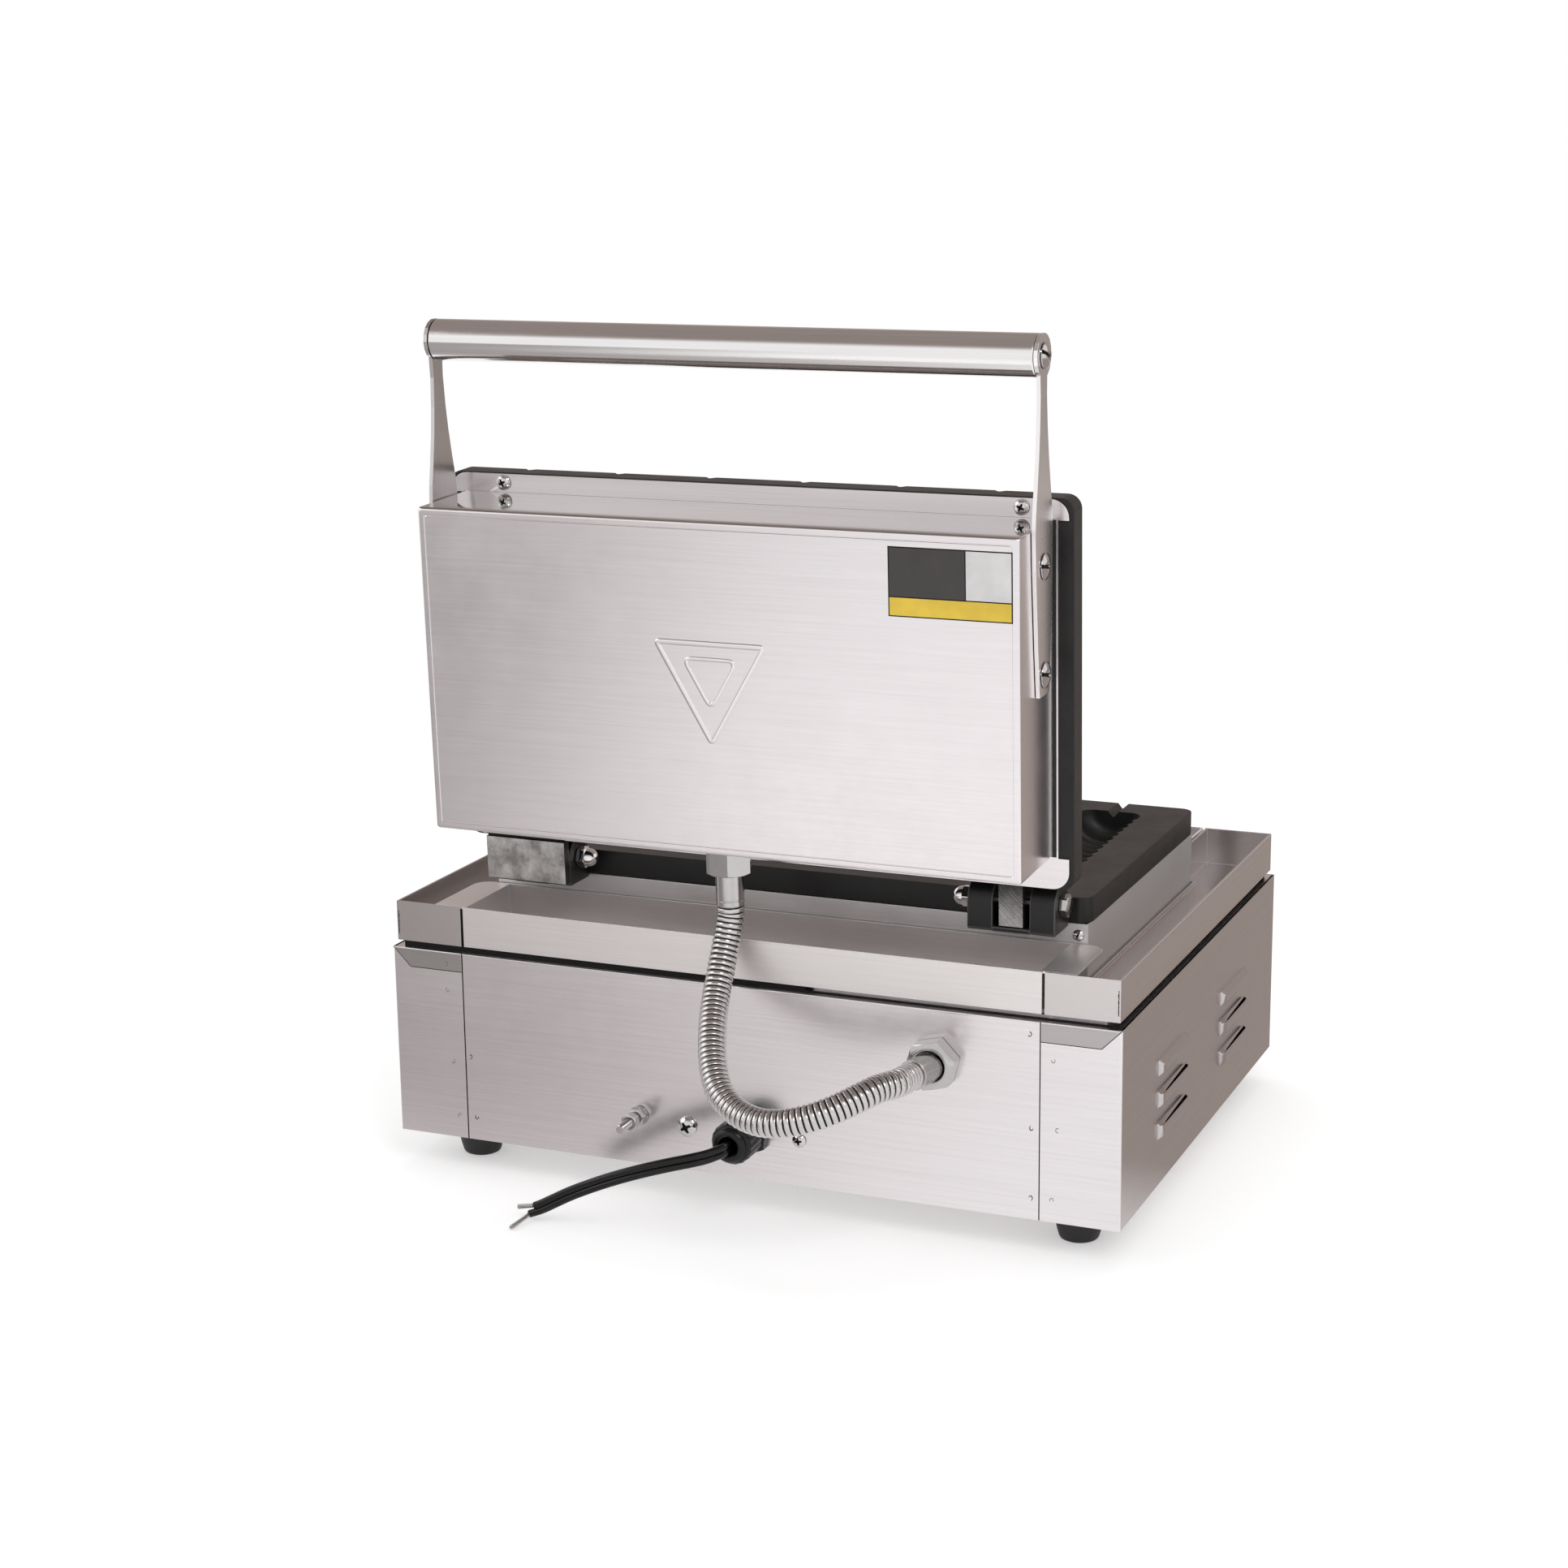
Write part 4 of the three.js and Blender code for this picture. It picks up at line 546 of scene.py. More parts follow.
def smooth_route(points, per_span=24):
    """A smooth curve through the points."""
    points = [Vector(p) for p in points]
    ends = [points[0] * 2 - points[1]] + points + [points[-1] * 2 - points[-2]]
    route = []
    for i in range(1, len(ends) - 2):
        p0, p1, p2, p3 = ends[i - 1:i + 3]
        t1 = math.sqrt((p1 - p0).length)
        t2 = t1 + math.sqrt((p2 - p1).length)
        t3 = t2 + math.sqrt((p3 - p2).length)
        for k in range(per_span):
            t = t1 + (t2 - t1) * k / per_span
            a1 = between(p0, p1, 0, t1, t)
            a2 = between(p1, p2, t1, t2, t)
            a3 = between(p2, p3, t2, t3, t)
            b1 = between(a1, a2, 0, t2, t)
            b2 = between(a2, a3, t1, t3, t)
            route.append(between(b1, b2, t1, t2, t))
    route.append(points[-1])
    return route


def evenly(route, count):
    """The route as that many even steps, and its length."""
    sums = [0.0]
    for a, b in zip(route, route[1:]):
        sums.append(sums[-1] + (b - a).length)
    total = sums[-1]
    result = []
    k = 0
    for i in range(count + 1):
        wanted = total * i / count
        while k < len(sums) - 2 and sums[k + 1] < wanted:
            k += 1
        share = (wanted - sums[k]) / max(1e-9, sums[k + 1] - sums[k])
        result.append(route[k].lerp(route[k + 1], share))
    return result, total


def frames_along(points):
    """Point, heading and two cross directions at each point, carried without twist."""
    headings = []
    for i in range(len(points)):
        a = points[max(0, i - 1)]
        b = points[min(len(points) - 1, i + 1)]
        headings.append((b - a).normalized())
    side = headings[0].cross(Z_AXIS).normalized()
    rows = []
    for point, heading in zip(points, headings):
        side = (side - heading * side.dot(heading)).normalized()
        rows.append((point, heading, side, side.cross(heading).normalized()))
    return rows


# The conduit: a ribbed metal hose from the casing to the lid

HOSE_X = -107.5
HOSE_Z = 97.5
HOSE_RADIUS = 7.4
HOSE_RIBS = 75
NUT_FRONT = OUTSIDE + 9.5
sleeve_heading = Vector((2.1, 18.4, 1.2)).normalized()
sleeve_bend = Vector((HOSE_X, NUT_FRONT, HOSE_Z))
sleeve_end = sleeve_bend + sleeve_heading * 18.4
hose_start = sleeve_end + sleeve_heading * 0.3
FITTING_X = 2
FITTING_Z = 48
FITTING_FROM = -30.3
FERRULE_FROM = FITTING_FROM + 14.5
FERRULE_END = FERRULE_FROM + 17.0
base_from_lid = ON_BASE.inverted() @ ON_LID
hose_end = base_from_lid @ Vector((FITTING_X, FERRULE_END + 0.3, FITTING_Z))
into_ferrule = (base_from_lid.to_3x3() @ -Y_AXIS).normalized()

hose_points = [hose_start + sleeve_heading * (HOSE_RADIUS * i) for i in range(3)]
hose_points += [Vector((x, HALF_DEPTH + y, z)) for x, y, z in (
    (-97, 54, 99.2), (-91.2, 61.5, 96.8), (-80.2, 71, 91.8), (-67.7, 77, 87.4), (-55, 79.5, 84.7),
    (-43, 78.5, 84), (-29.6, 74, 86.6), (-17.8, 66, 92.8), (-8.8, 53.3, 103.4), (-3.2, 40.5, 114.6),
    (0.8, 27.8, 125), (2.4, 16.9, 138), (2.8, 9.1, 150), (2.3, 5.4, 160))]
hose_points += [hose_end - into_ferrule * 4, hose_end]


def conduit_hose():
    """Rounded bright ribs with a narrow groove between them; the groove's faces and the end faces are painted
    dark as shade.
    """
    rib = ((0.0, 6.5), (0.08, 6.55), (0.13, 6.95), (0.24, 7.13),
           (0.5, 7.2), (0.76, 7.13), (0.87, 6.95), (0.92, 6.55))
    steps = HOSE_RIBS * 20
    route, length = evenly(smooth_route(hose_points), steps)
    rows = [((count + share) / HOSE_RIBS, radius) for count in range(HOSE_RIBS) for share, radius in rib]
    rows.append((1.0, 6.55))
    spots = frames_along([route[round(share * steps)] for share, radius in rows])
    rings = [ring_about(point, side, up, radius, 28)
             for (point, heading, side, up), (share, radius) in zip(spots, rows)]
    form = Form()
    # The groove faces take the dark slot: painted shade between the ribs
    form.net(rings, slot=lambda i: 1 if i % len(rib) in (0, len(rib) - 1) else 0)
    form.face(rings[0], 1)
    form.face(rings[-1], 1)
    piece = form.piece("conduit", [hose_steel, seam_dark_and_painted_shade], None, "stainless_polished", "conduit_hose")
    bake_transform(piece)


conduit_hose()

# The power cord: a flat twin lead, cut off, with two bare wires

GLAND_X = -4.0
GLAND_Z = 47.0
GLAND_CAP_BACK = OUTSIDE + 5 + 3 + 0.3
GLAND_FRONT = GLAND_CAP_BACK + 18.4
CORE_RADIUS = 2.05
CORE_OFFSET = 1.7
cord_start = Vector((GLAND_X, GLAND_FRONT + 0.3, GLAND_Z))
cord_points = [cord_start, cord_start + Y_AXIS * 3.75]
cord_points += [Vector((x, HALF_DEPTH + y, z)) for x, y, z in (
    (-2.6, 34, 46.6), (2.2, 39.5, 45.3), (9.5, 44, 43.8), (19, 47.3, 41.6), (30, 49.7, 38.4),
    (41.5, 51.4, 34.5), (53, 52.1, 29.9), (64.5, 51.9, 24.6), (75.5, 50.7, 18.9), (85.5, 49.3, 13),
    (94, 48, 8), (101.6, 47.1, 4.5))]


def wire(name, node, start, heading, length):
    """A bare wire of twisted strands, which spread a little towards its end."""
    form = Form()
    axis, side, up = across(heading)
    strands = 5
    for strand in range(strands):
        rings = []
        for i in range(25):
            share = i / 24
            swirl = 2 * math.pi * (strand / strands + 3.0 * share * length / 18)
            middle = ring_point(start + axis * (length * share), side, up, 0.72 * (1 + 0.25 * share), swirl)
            rings.append(ring_about(middle, side, up, 0.46, 8))
        form.net(rings)
        form.face(rings[0])
        form.face(rings[-1])
    return form.piece(name, [zinc], "base", "stainless_polished", node)


def power_cord():
    """Two cores side by side, of which one is cut shorter, and their wires."""
    steps = 120
    route, length = evenly(smooth_route(cord_points), steps)
    spots = frames_along(route)
    form = Form()
    ends = []
    for sign, stop in ((-1, steps), (1, steps - 5)):
        rings = []
        for point, heading, side, up in spots[:stop + 1]:
            tall = (Z_AXIS - heading * Z_AXIS.dot(heading)).normalized()
            middle = point + tall * (sign * CORE_OFFSET)
            rings.append(ring_about(middle, tall.cross(heading), tall, CORE_RADIUS, 20))
        form.net(rings)
        inner = [middle.lerp(p, 0.45) for p in rings[-1]]
        form.net([rings[-1], inner])
        form.face(inner)
        form.face(rings[0])
        ends.append(middle)
    piece = form.piece("twin_cord", [cord_skin], "base", "foot_rubber", "power_cord")
    wires = [
        wire("bare_wire_long", "cord_wire_long", ends[0], Vector((0.1, 1, -0.06)), 18),
        wire("bare_wire_short", "cord_wire_short", ends[1], Vector((1, 0.05, -0.2)), 10),
    ]


power_cord()

# Sheet pieces kept from the CAD model

dressed("rear_panel", satin, 0.25)
dressed("front_panel", satin, 0.25)
dressed("top_deck", satin, 0.35, windowed=True)
dressed("bottom_pan", coarse, 0.3)
# The trays and pans take the painted-highlight material on their rounded rims
for side_name in ("left", "right"):
    dressed("side_tray_" + side_name, tray_steel, 0.45, 3, rim=rim_painted_highlight)
for end_name in ("rear", "front"):
    dressed(end_name + "_drip_pan", pan_steel, 0.45, 3, rim=rim_painted_highlight)
dressed("lower_heater_box", coarse, 0.4, 3)
dressed("lid_frame", satin, 0.4, 3, windowed=True)
# The left arm takes the painted-light copy of the arm steel, the right arm the painted-shade copy
dressed("handle_arm_left", arm_steel_painted_light, 0.4, 3)
dressed("handle_arm_right", arm_steel_painted_shade, 0.4, 3)
for node in ("thermostat_body", "timer_body", "terminal_block"):
    dressed(node, ceramic, 0.5)
for node in ("lower_heating_element", "upper_heating_element"):
    dressed(node, coarse, 0)
dressed("thermostat_bulb", zinc, 0)

# Side panels, with rows of pressed louvres

LOUVRE_HALF = 27.0
LOUVRE_REACH = 3.0
LOUVRE_ROUND = 3.2
LOUVRE_TAPER = 6.0
LOUVRE_TOPS = [PANEL_HIGH - 36.6 - 17.3 * row for row in range(3)]
LOUVRE_COLUMNS = (-62.0, 60.6)
LOUVRE_STEPS = 44
LOUVRE_SECTION = [(0.0, 1.0), (0.05, 0.6), (0.2, 0.3), (0.36, 0.05), (0.46, -0.2), (0.92, -0.3), (0.98, -0.9),
                  (1.0, -2.0), (1.0, -4.6), (0.97, -5.8), (0.86, -6.7), (0.6, -7.4), (0.25, -7.9),
                  (0.0, -8.4)]
SLIT_STEP = 4
SLIT_FROM = 2.5 - LOUVRE_HALF
SLIT_TO = LOUVRE_HALF - 6
PANEL_BEND = 1.5
PANEL_SKIN = 0.45
STRIP_LOW = PANEL_HIGH - 10.3 - 0.3
MITRE_X = HALF_WIDTH - 10.6


def louvre_out(row, step, along):
    """How far a louvre stands out: its top edge is open but in the first row, its rear end is rounded,
    and its front end runs out."""
    share, down = LOUVRE_SECTION[step]
    if row == 0:
        share = min(share, smoothstep(0.0, 3.4, 1.0 - down))
    elif step <= SLIT_STEP:
        share *= 1 + 0.5 * along / LOUVRE_HALF
    rear = min(1.0, (LOUVRE_HALF - along) / LOUVRE_ROUND)
    rise = math.sqrt(1 - (1 - rear) ** 2) * smoothstep(0, LOUVRE_TAPER, along + LOUVRE_HALF)
    return LOUVRE_REACH * share * rise


def side_panel(side_name, sign):
    """One grid of faces, whose lines all run from edge to edge, so the flat parts stay truly flat."""
    form = Form()
    y_lines = [(-HALF_DEPTH + PANEL_BEND, None)]
    for column in LOUVRE_COLUMNS:
        for k in range(LOUVRE_STEPS + 1):
            along = -LOUVRE_HALF * math.cos(math.pi * k / LOUVRE_STEPS)
            y_lines.append((column + along, along))
    y_lines.append((HALF_DEPTH - PANEL_BEND, None))
    z_lines = [(PANEL_HIGH, None, None)]
    for row, top in enumerate(LOUVRE_TOPS):
        z_lines += [(top + down, row, step) for step, (out, down) in enumerate(LOUVRE_SECTION)]
    z_lines.append((PANEL_LOW, None, None))
    grid = []
    for z, row, step in z_lines:
        outs = [0 if row is None or along is None else louvre_out(row, step, along) for y, along in y_lines]
        grid.append([(sign * (HALF_WIDTH + out), y, z) for out, (y, along) in zip(outs, y_lines)])
    for i in range(len(z_lines) - 1):
        for j in range(len(y_lines) - 1):
            along, after = y_lines[j][1], y_lines[j + 1][1]
            in_louvre = along is not None and after is not None and after > along
            slit = in_louvre and z_lines[i][2] == SLIT_STEP and z_lines[i][1] > 0
            if not (slit and along > SLIT_FROM and after < SLIT_TO):
                form.face([grid[i][j], grid[i][j + 1], grid[i + 1][j + 1], grid[i + 1][j]])
    for end in (-1, 1):
        spots = arc(HALF_WIDTH - PANEL_BEND, HALF_DEPTH - PANEL_BEND, PANEL_BEND, 0, 90, 6)
        spots += [(MITRE_X, HALF_DEPTH), (SEAM + 0.3, HALF_DEPTH)]
        rows = []
        for line in z_lines:
            share = (line[0] - PANEL_LOW) / (PANEL_HIGH - PANEL_LOW)
            row = []
            for x, y in spots:
                top = STRIP_LOW + max(0.0, x - MITRE_X) * (PANEL_HIGH - STRIP_LOW) / (HALF_WIDTH - MITRE_X)
                row.append((sign * x, end * y, PANEL_LOW + share * (top - PANEL_LOW)))
            rows.append(row)
        form.net(rows, closed=False, slot=1)
    # The louvred faces take the darker copy of the satin, a painted shade; the returns take the satin
    piece = form.piece("louvred_panel_" + side_name, [satin_side_painted_shade, satin], "base", "stainless_satin",
                       "side_panel_" + side_name, crease=28)
    if sum(polygon.normal.x * polygon.area for polygon in piece.data.polygons) * sign < 0:
        piece.data.flip_normals()
    thicken(piece, PANEL_SKIN)


for side_name, sign in SIDES:
    side_panel(side_name, sign)

# Seams, corner strips and marks on the casing

DECK_SEAT = 5.0
SEAM_WIDTH = 0.4
SEAM_Z = STRIP_LOW + 0.15
STRIP_LIFT = 0.15


def line_strip(form, start, stop, y0, y1):
    """A straight strip on an end face, between two points (x, z)."""
    a = Vector(start)
    b = Vector(stop)
    run = (b - a).normalized()
    side = Vector((-run.y, run.x)) * SEAM_WIDTH / 2
    form.prism([a - side, b - side, b + side, a + side], 1, y0, y1)


for end_name, end in ENDS:
    lines = Form()
    for side_name, side in SIDES:
        outline = [(side * (SEAM + 0.5), STRIP_LOW + 0.4), (side * (MITRE_X - 0.1), STRIP_LOW + 0.4),
                   (side * (HALF_WIDTH - 0.8), PANEL_HIGH - 0.4), (side * (SEAM + 0.5), PANEL_HIGH - 0.4)]
        strip = Form()
        strip.prism(outline, 1, *sorted((end * (HALF_DEPTH - 0.5), end * (HALF_DEPTH + STRIP_LIFT))))
        plate = strip.piece("corner_strip_%s_%s" % (end_name, side_name), [strip_steel], "base",
                            "stainless_satin")
        bevelled(plate, 0.08, 1)
        inner, outer = sorted((end * (HALF_DEPTH - 0.9), end * (HALF_DEPTH + 0.02)))
        for x0, z0, x1, z1 in ((SEAM + 0.4, SEAM_Z, MITRE_X, SEAM_Z),
                               (MITRE_X, SEAM_Z, HALF_WIDTH - 0.4, PANEL_HIGH - 0.2),
                               (SEAM, PANEL_LOW + 0.2, SEAM, PANEL_HIGH - 0.2)):
            line_strip(lines, (side * x0, z0), (side * x1, z1), inner, outer)
    lines.piece("seam_lines_" + end_name, [seam_dark_and_painted_shade], "base", "foot_rubber")

# The rolled top edge of each end panel and of the returns beside it

for end_name, end in ENDS:
    form = Form()
    for x0, x1, face in ((-SEAM + 0.6, SEAM - 0.6, OUTSIDE), (-HALF_WIDTH + 1.4, -SEAM - 0.6, HALF_DEPTH),
                         (SEAM + 0.6, HALF_WIDTH - 1.4, HALF_DEPTH)):
        ring = [(end * y, z) for y, z in arc(face - 0.3, PANEL_HIGH - 0.45, 0.5, 0, 330, 11)]
        form.prism(ring, 0, x0, x1)
    form.piece("rolled_edge_" + end_name, [polished], "base", "stainless_satin", crease=50)

# A painted shadow for the gap between the casing and the trays: a dark strip round the deck's seat

form = Form()
seat_x = HALF_WIDTH - DECK_SEAT
seat_y = HALF_DEPTH - DECK_SEAT
gap_half = 0.4
gap_low = PANEL_HIGH + 0.05
gap_high = TRAY_BOTTOM - 0.05
seat_shows_to = -35.0
form.slab(-seat_x, seat_x, -seat_y - gap_half, -seat_y + gap_half, gap_low, gap_high)
form.slab(seat_shows_to, seat_x, seat_y - gap_half, seat_y + gap_half, gap_low, gap_high)
for low, high in ((gap_low, gap_low + 0.5), (gap_high - 0.7, gap_high)):
    form.slab(-seat_x, seat_shows_to, seat_y - gap_half, seat_y + gap_half, low, high)
form.slab(seat_x - gap_half, seat_x + gap_half, -seat_y, seat_y, gap_low, gap_high)
form.slab(-seat_x - gap_half, -seat_x + gap_half, -seat_y, seat_y, gap_low + 1.5, gap_high)
# The dark strip is painted shadow under the trays
form.piece("seat_painted_shadow", [seam_dark_and_painted_shade], "base", "foot_rubber")

# Torn weld lines down the rear outer corners of the side trays

TRAY_OUTER = 203.0
TRAY_REAR = 151.0
TEAR_X = TRAY_OUTER - 0.75
TEAR_LOW = TRAY_BOTTOM + 3.4
form = Form()
for side in (-1, 1):
    inner, outer = [], []
    for k in range(14):
        width = 0.35 + 0.3 * math.sin(2.1 * k) ** 2
        inner.append((side * (TEAR_X - width + 0.12 * math.sin(1.7 * k)), TEAR_LOW + k))
        outer.append((side * (TEAR_X + 0.1 * math.sin(2.9 * k)), TEAR_LOW + k))
    form.prism(inner + outer[::-1], 1, TRAY_REAR - 0.1, TRAY_REAR + 0.05)
form.piece("tray_corner_welds", [seam_dark_and_painted_shade], "base", "stainless_satin")

# Small spot weld marks: an open ring of raised metal each, at (x, z), with the gap turned by an angle

WELD_RADIUS = 1.15
WELDS = ((172.4, 118.3, 40), (172.1, 103.7, 200), (170.4, 63.4, 120), (167.8, 32.5, 300), (159.8, 67, 60),
         (157.2, 33, 170), (-157.3, 117.8, 90), (-158.5, 68.6, 190), (-158.4, 31.4, 20), (-169.6, 105.4, 140),
         (-172.1, 69.1, 250), (-169.4, 31.7, 330))
form = Form()
for x, z, turn in WELDS:
    face = HALF_DEPTH if abs(x) > SEAM else OUTSIDE
    if abs(x) > SEAM and z > STRIP_LOW:
        face += STRIP_LIFT
    rings = []
    for i in range(15):
        angle = math.radians(turn + 230 * i / 14)
        ring = []
        for k in range(6):
            swing = math.pi * k / 5
            r = WELD_RADIUS + 0.22 * math.cos(swing)
            out = face - 0.03 + 0.14 * math.sin(swing)
            ring.append((x + 0.8 * r * math.cos(angle), out, z + r * math.sin(angle)))
        rings.append(ring)
    form.net(rings, closed=False)
form.piece("weld_marks", [weld_grey], "base", "stainless_satin", crease=80)

# Feet

FOOT_X = 173.5
FOOT_Y = 119.5
for end_name, end in ENDS:
    for side_name, side in SIDES:
        form = Form()
        profile = [(0, 6), (4.4, 6), (4.4, 0.8), (4.8, 0), (8.8, 0), (9.8, 0.5), (10.5, 1.6), (11.7, 6),
                   (12.6, 11), (13.2, 15), (13.2, 18.6), (12.8, 19.7), (0, 19.7)]
        form.turned(profile, (side * FOOT_X, end * FOOT_Y, 0), Z_AXIS)
        screw_head(form, (side * FOOT_X, end * FOOT_Y, 6), -Z_AXIS, 3.6, 2.0, "cross", slot=1)
        form.piece("rubber_foot_%s_%s" % (end_name, side_name), [rubber, zinc], "base", "foot_rubber",
                   "foot_%s_%s" % (end_name, side_name))

# Mould plates: a block with six ribbed cavities, stick notches and the hinge castings

CAVITY_HALF = 76.0
CAVITY_MIDDLE = -101.5
CAVITY_SQUASH = 0.88
CAVITY_XS = [(i - 2.5) * CAVITY_PITCH for i in range(6)]
TOOTH_PITCH = 9.5
TOOTH = ((0.0, 0.0), (0.3, 0.1), (0.5, 0.55), (0.68, 1.5), (0.8, 1.7), (0.9, 1.2), (0.97, 0.15))
CHEEK_NEAR = 9.7
CHEEK_FAR = 23.4
CHEEK_ROUND = 11
LUG_HALF = 6.4
LUG_ROUND = 10.5


def cavity_rows(grow=0.0, teeth=True):
    """(distance from the middle, radius) along one cavity: flat ends, rounded corners, a toothed side."""
    corner = 8.0
    half = CAVITY_HALF + grow
    wide = 17.6 + grow
    rows = [(-half, 0.0)]
    rows += [(-half + corner - x, wide - corner + y) for x, y in arc(0, 0, corner, 0, 90, 6)]
    if teeth:
        reach = half - corner - 1.0
        count = round(2 * reach / TOOTH_PITCH)
        pitch = 2 * reach / count
        for i in range(count):
            start = -reach + i * pitch
            rows += [(start + share * pitch, wide - cut) for share, cut in TOOTH]
    rows += [(-along, radius) for along, radius in reversed(rows[:8])]
    return rows


def cavity_arc(x, along, radius, start, stop, steps):
    """Points of one cavity's flattened section, from one angle to another in radians."""
    angles = [start + (stop - start) * i / steps for i in range(steps + 1)]
    return [(x + radius * math.cos(angle), CAVITY_MIDDLE + along, CAVITY_SQUASH * radius * math.sin(angle))
            for angle in angles]


def mould_cavity(x):
    """One cavity as a closed form."""
    form = Form()
    form.net([cavity_arc(x, along, radius, 0, 2 * math.pi, 32)[:-1] for along, radius in cavity_rows()])
    return form


def mould_back(x):
    """The back of one cavity, standing out behind the plate."""
    level = -PLATE_THICKNESS / 2
    rings = []
    for along, radius in cavity_rows(3.2, teeth=False):
        if radius == 0:
            rings.append([(x, CAVITY_MIDDLE + along, level - 2)] * 25)
        else:
            start = math.asin(-level / (CAVITY_SQUASH * radius))
            rings.append(cavity_arc(x, along, radius, math.pi + start, 2 * math.pi - start, 24))
    form = Form()
    form.net(rings)
    return form


def carved(name, block_form, added, cutters, materials, world):
    """A closed form joined with others, and then with closed forms cut out of it."""
    block = block_form.made(name + "_block", materials, None, world)
    tools = []
    for forms, operation in ((added, "UNION"), (cutters, "DIFFERENCE")):
        for form in forms:
            tool = form.made(name + "_tool", materials, None, world)
            tools.append(tool)
            step = block.modifiers.new("carve", "BOOLEAN")
            step.operation = operation
            step.solver = "MANIFOLD"
            step.object = tool
    depsgraph = bpy.context.evaluated_depsgraph_get()
    mesh = bpy.data.meshes.new_from_object(block.evaluated_get(depsgraph))
    mesh.name = name
    piece = bpy.data.objects.new(name, mesh)
    bpy.context.scene.collection.objects.link(piece)
    for spare in [block] + tools:
        bpy.data.objects.remove(spare)
    mesh.shade_smooth()
    mesh.set_sharp_from_angle(angle=math.radians(34))
    flat_faces_first(piece)
    return piece


def rounded_block(x, y0, y1, z0, z1, corner, edge):
    """A slab with rounded corners and softened top and bottom edges."""
    profile = [(edge, z0), (0.3 * edge, z0 + 0.3 * edge), (0, z0 + edge), (0, z1 - edge),
               (0.3 * edge, z1 - 0.3 * edge), (edge, z1)]
    rows = [rounded_loop(x - inset, y0 + inset, y1 - inset, corner - inset, z, 8) for inset, z in profile]
    form = Form()
    form.net(rows)
    form.face(rows[0])
    form.face(rows[-1])
    return form


def clevis(sign, name):
    """Two cheeks and the bar that joins them below, cast with the lower plate."""
    low = AXIS_HEIGHT - CHEEK_ROUND - 2.6 - 0.6
    middle = sign * HINGE_CENTRE
    end = AXIS_ALONG + CHEEK_ROUND
    cheek = [(PLATE_REAR - 3.5, PLATE_BOTTOM), (PLATE_REAR + 0.6, PLATE_BOTTOM), (PLATE_REAR + 0.9, low + 1),
             (PLATE_REAR + 1.9, low), (end - 1, low), (end, low + 1)]
    cheek += arc(AXIS_ALONG, AXIS_HEIGHT, CHEEK_ROUND, 0, 180, 20)
    cheek.append((PLATE_REAR - 3.5, AXIS_HEIGHT))
    form = Form()
    form.prism(cheek, 0, middle - CHEEK_FAR, middle - CHEEK_NEAR)
    form.prism(cheek, 0, middle + CHEEK_NEAR, middle + CHEEK_FAR)
    form.slab(middle - 10.2, middle + 10.2, PLATE_REAR - 3, end - 0.1, low + 0.05, low + 2.6)
    piece = form.piece(name, [cast, cast_worn_and_highlight], "base", "cast_plate_black", "lower_mould_plate", crease=28)
    # The rounded edges take the grey slot: wear of the coat and a painted highlight
    bevelled(piece, 0.7, 3, slot=1)


def lug(sign, name):
    """The upper plate's eye inside the clevis, ground bare on its outer face, and its stop block."""
    middle = sign * HINGE_CENTRE
    rear = -REAR_FROM_AXIS - 3.5
    outline = [(LUG_ROUND, 11)] + arc(0, 0, LUG_ROUND, 0, -90, 20)
    outline += [(-7.4, -7.4), (-REAR_FROM_AXIS, PARTING), (rear, PARTING), (rear, 11)]
    form = Form()
    form.prism(outline, 0, middle - LUG_HALF, middle + LUG_HALF)
    bare_half = LUG_HALF - 0.05
    form.slab(middle - bare_half, middle + bare_half, rear + 0.1, LUG_ROUND - 0.05, 10.95, 11.0, 1)
    if sign > 0:
        stop_x0 = middle - CHEEK_FAR
        stop_x1 = middle + CHEEK_FAR
        form.slab(stop_x0, stop_x1, -12.2, 11, 11.5, 16.6)
        form.slab(stop_x0 + 0.1, stop_x1 - 0.1, -12.1, 10.9, 16.55, 17.0, 1)
        form.slab(middle - LUG_HALF, middle + LUG_HALF, -12.2, 10.7, 10.7, 11.8)
        form.slab(stop_x0, stop_x1, rear, -11.9, 11.5, PARTING + PLATE_THICKNESS)
    piece = form.piece(name, [cast, bare], "lid", "cast_plate_black", "upper_mould_plate", crease=28)
    bevelled(piece, 0.35, 2)


LOWER_PLATE = ON_BASE @ Matrix.Translation((0, PLATE_REAR, PLATE_TOP))
UPPER_PLATE = ON_LID @ Matrix.Translation((0, -REAR_FROM_AXIS, PARTING)) @ Matrix.Diagonal((1, 1, -1, 1))


def plate_piece(name, world, body, node):
    """A mould plate: its block, the backs of the cavities, the cavities and the stick notches."""
    block = rounded_block(PLATE_HALF, -PLATE_DEPTH, 0, -PLATE_THICKNESS, 0, 7.0, 0.5)
    half_notch = [(0.5, -3.2), (1.1, -2.6), (3.2, 0), (3.6, 0.6)]
    cutters = []
    for x in CAVITY_XS:
        notch = Form()
        notch.prism([(x - u, v) for u, v in half_notch[::-1]] + [(x + u, v) for u, v in half_notch],
                    1, -PLATE_DEPTH - 2, -PLATE_DEPTH + 28)
        cutters += [mould_cavity(x), notch]
    piece = carved(name, block, [mould_back(x) for x in CAVITY_XS], cutters, [cast], world)
    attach(piece, body)
    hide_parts(node)


plate_piece("lower_plate", LOWER_PLATE, "base", "lower_mould_plate")
plate_piece("upper_plate", UPPER_PLATE, "lid", "upper_mould_plate")
for side_name, sign in SIDES:
    clevis(sign, "clevis_" + side_name)
    lug(sign, "lug_" + side_name)

# Hinge bolts with their heads outside, and domed nuts inside

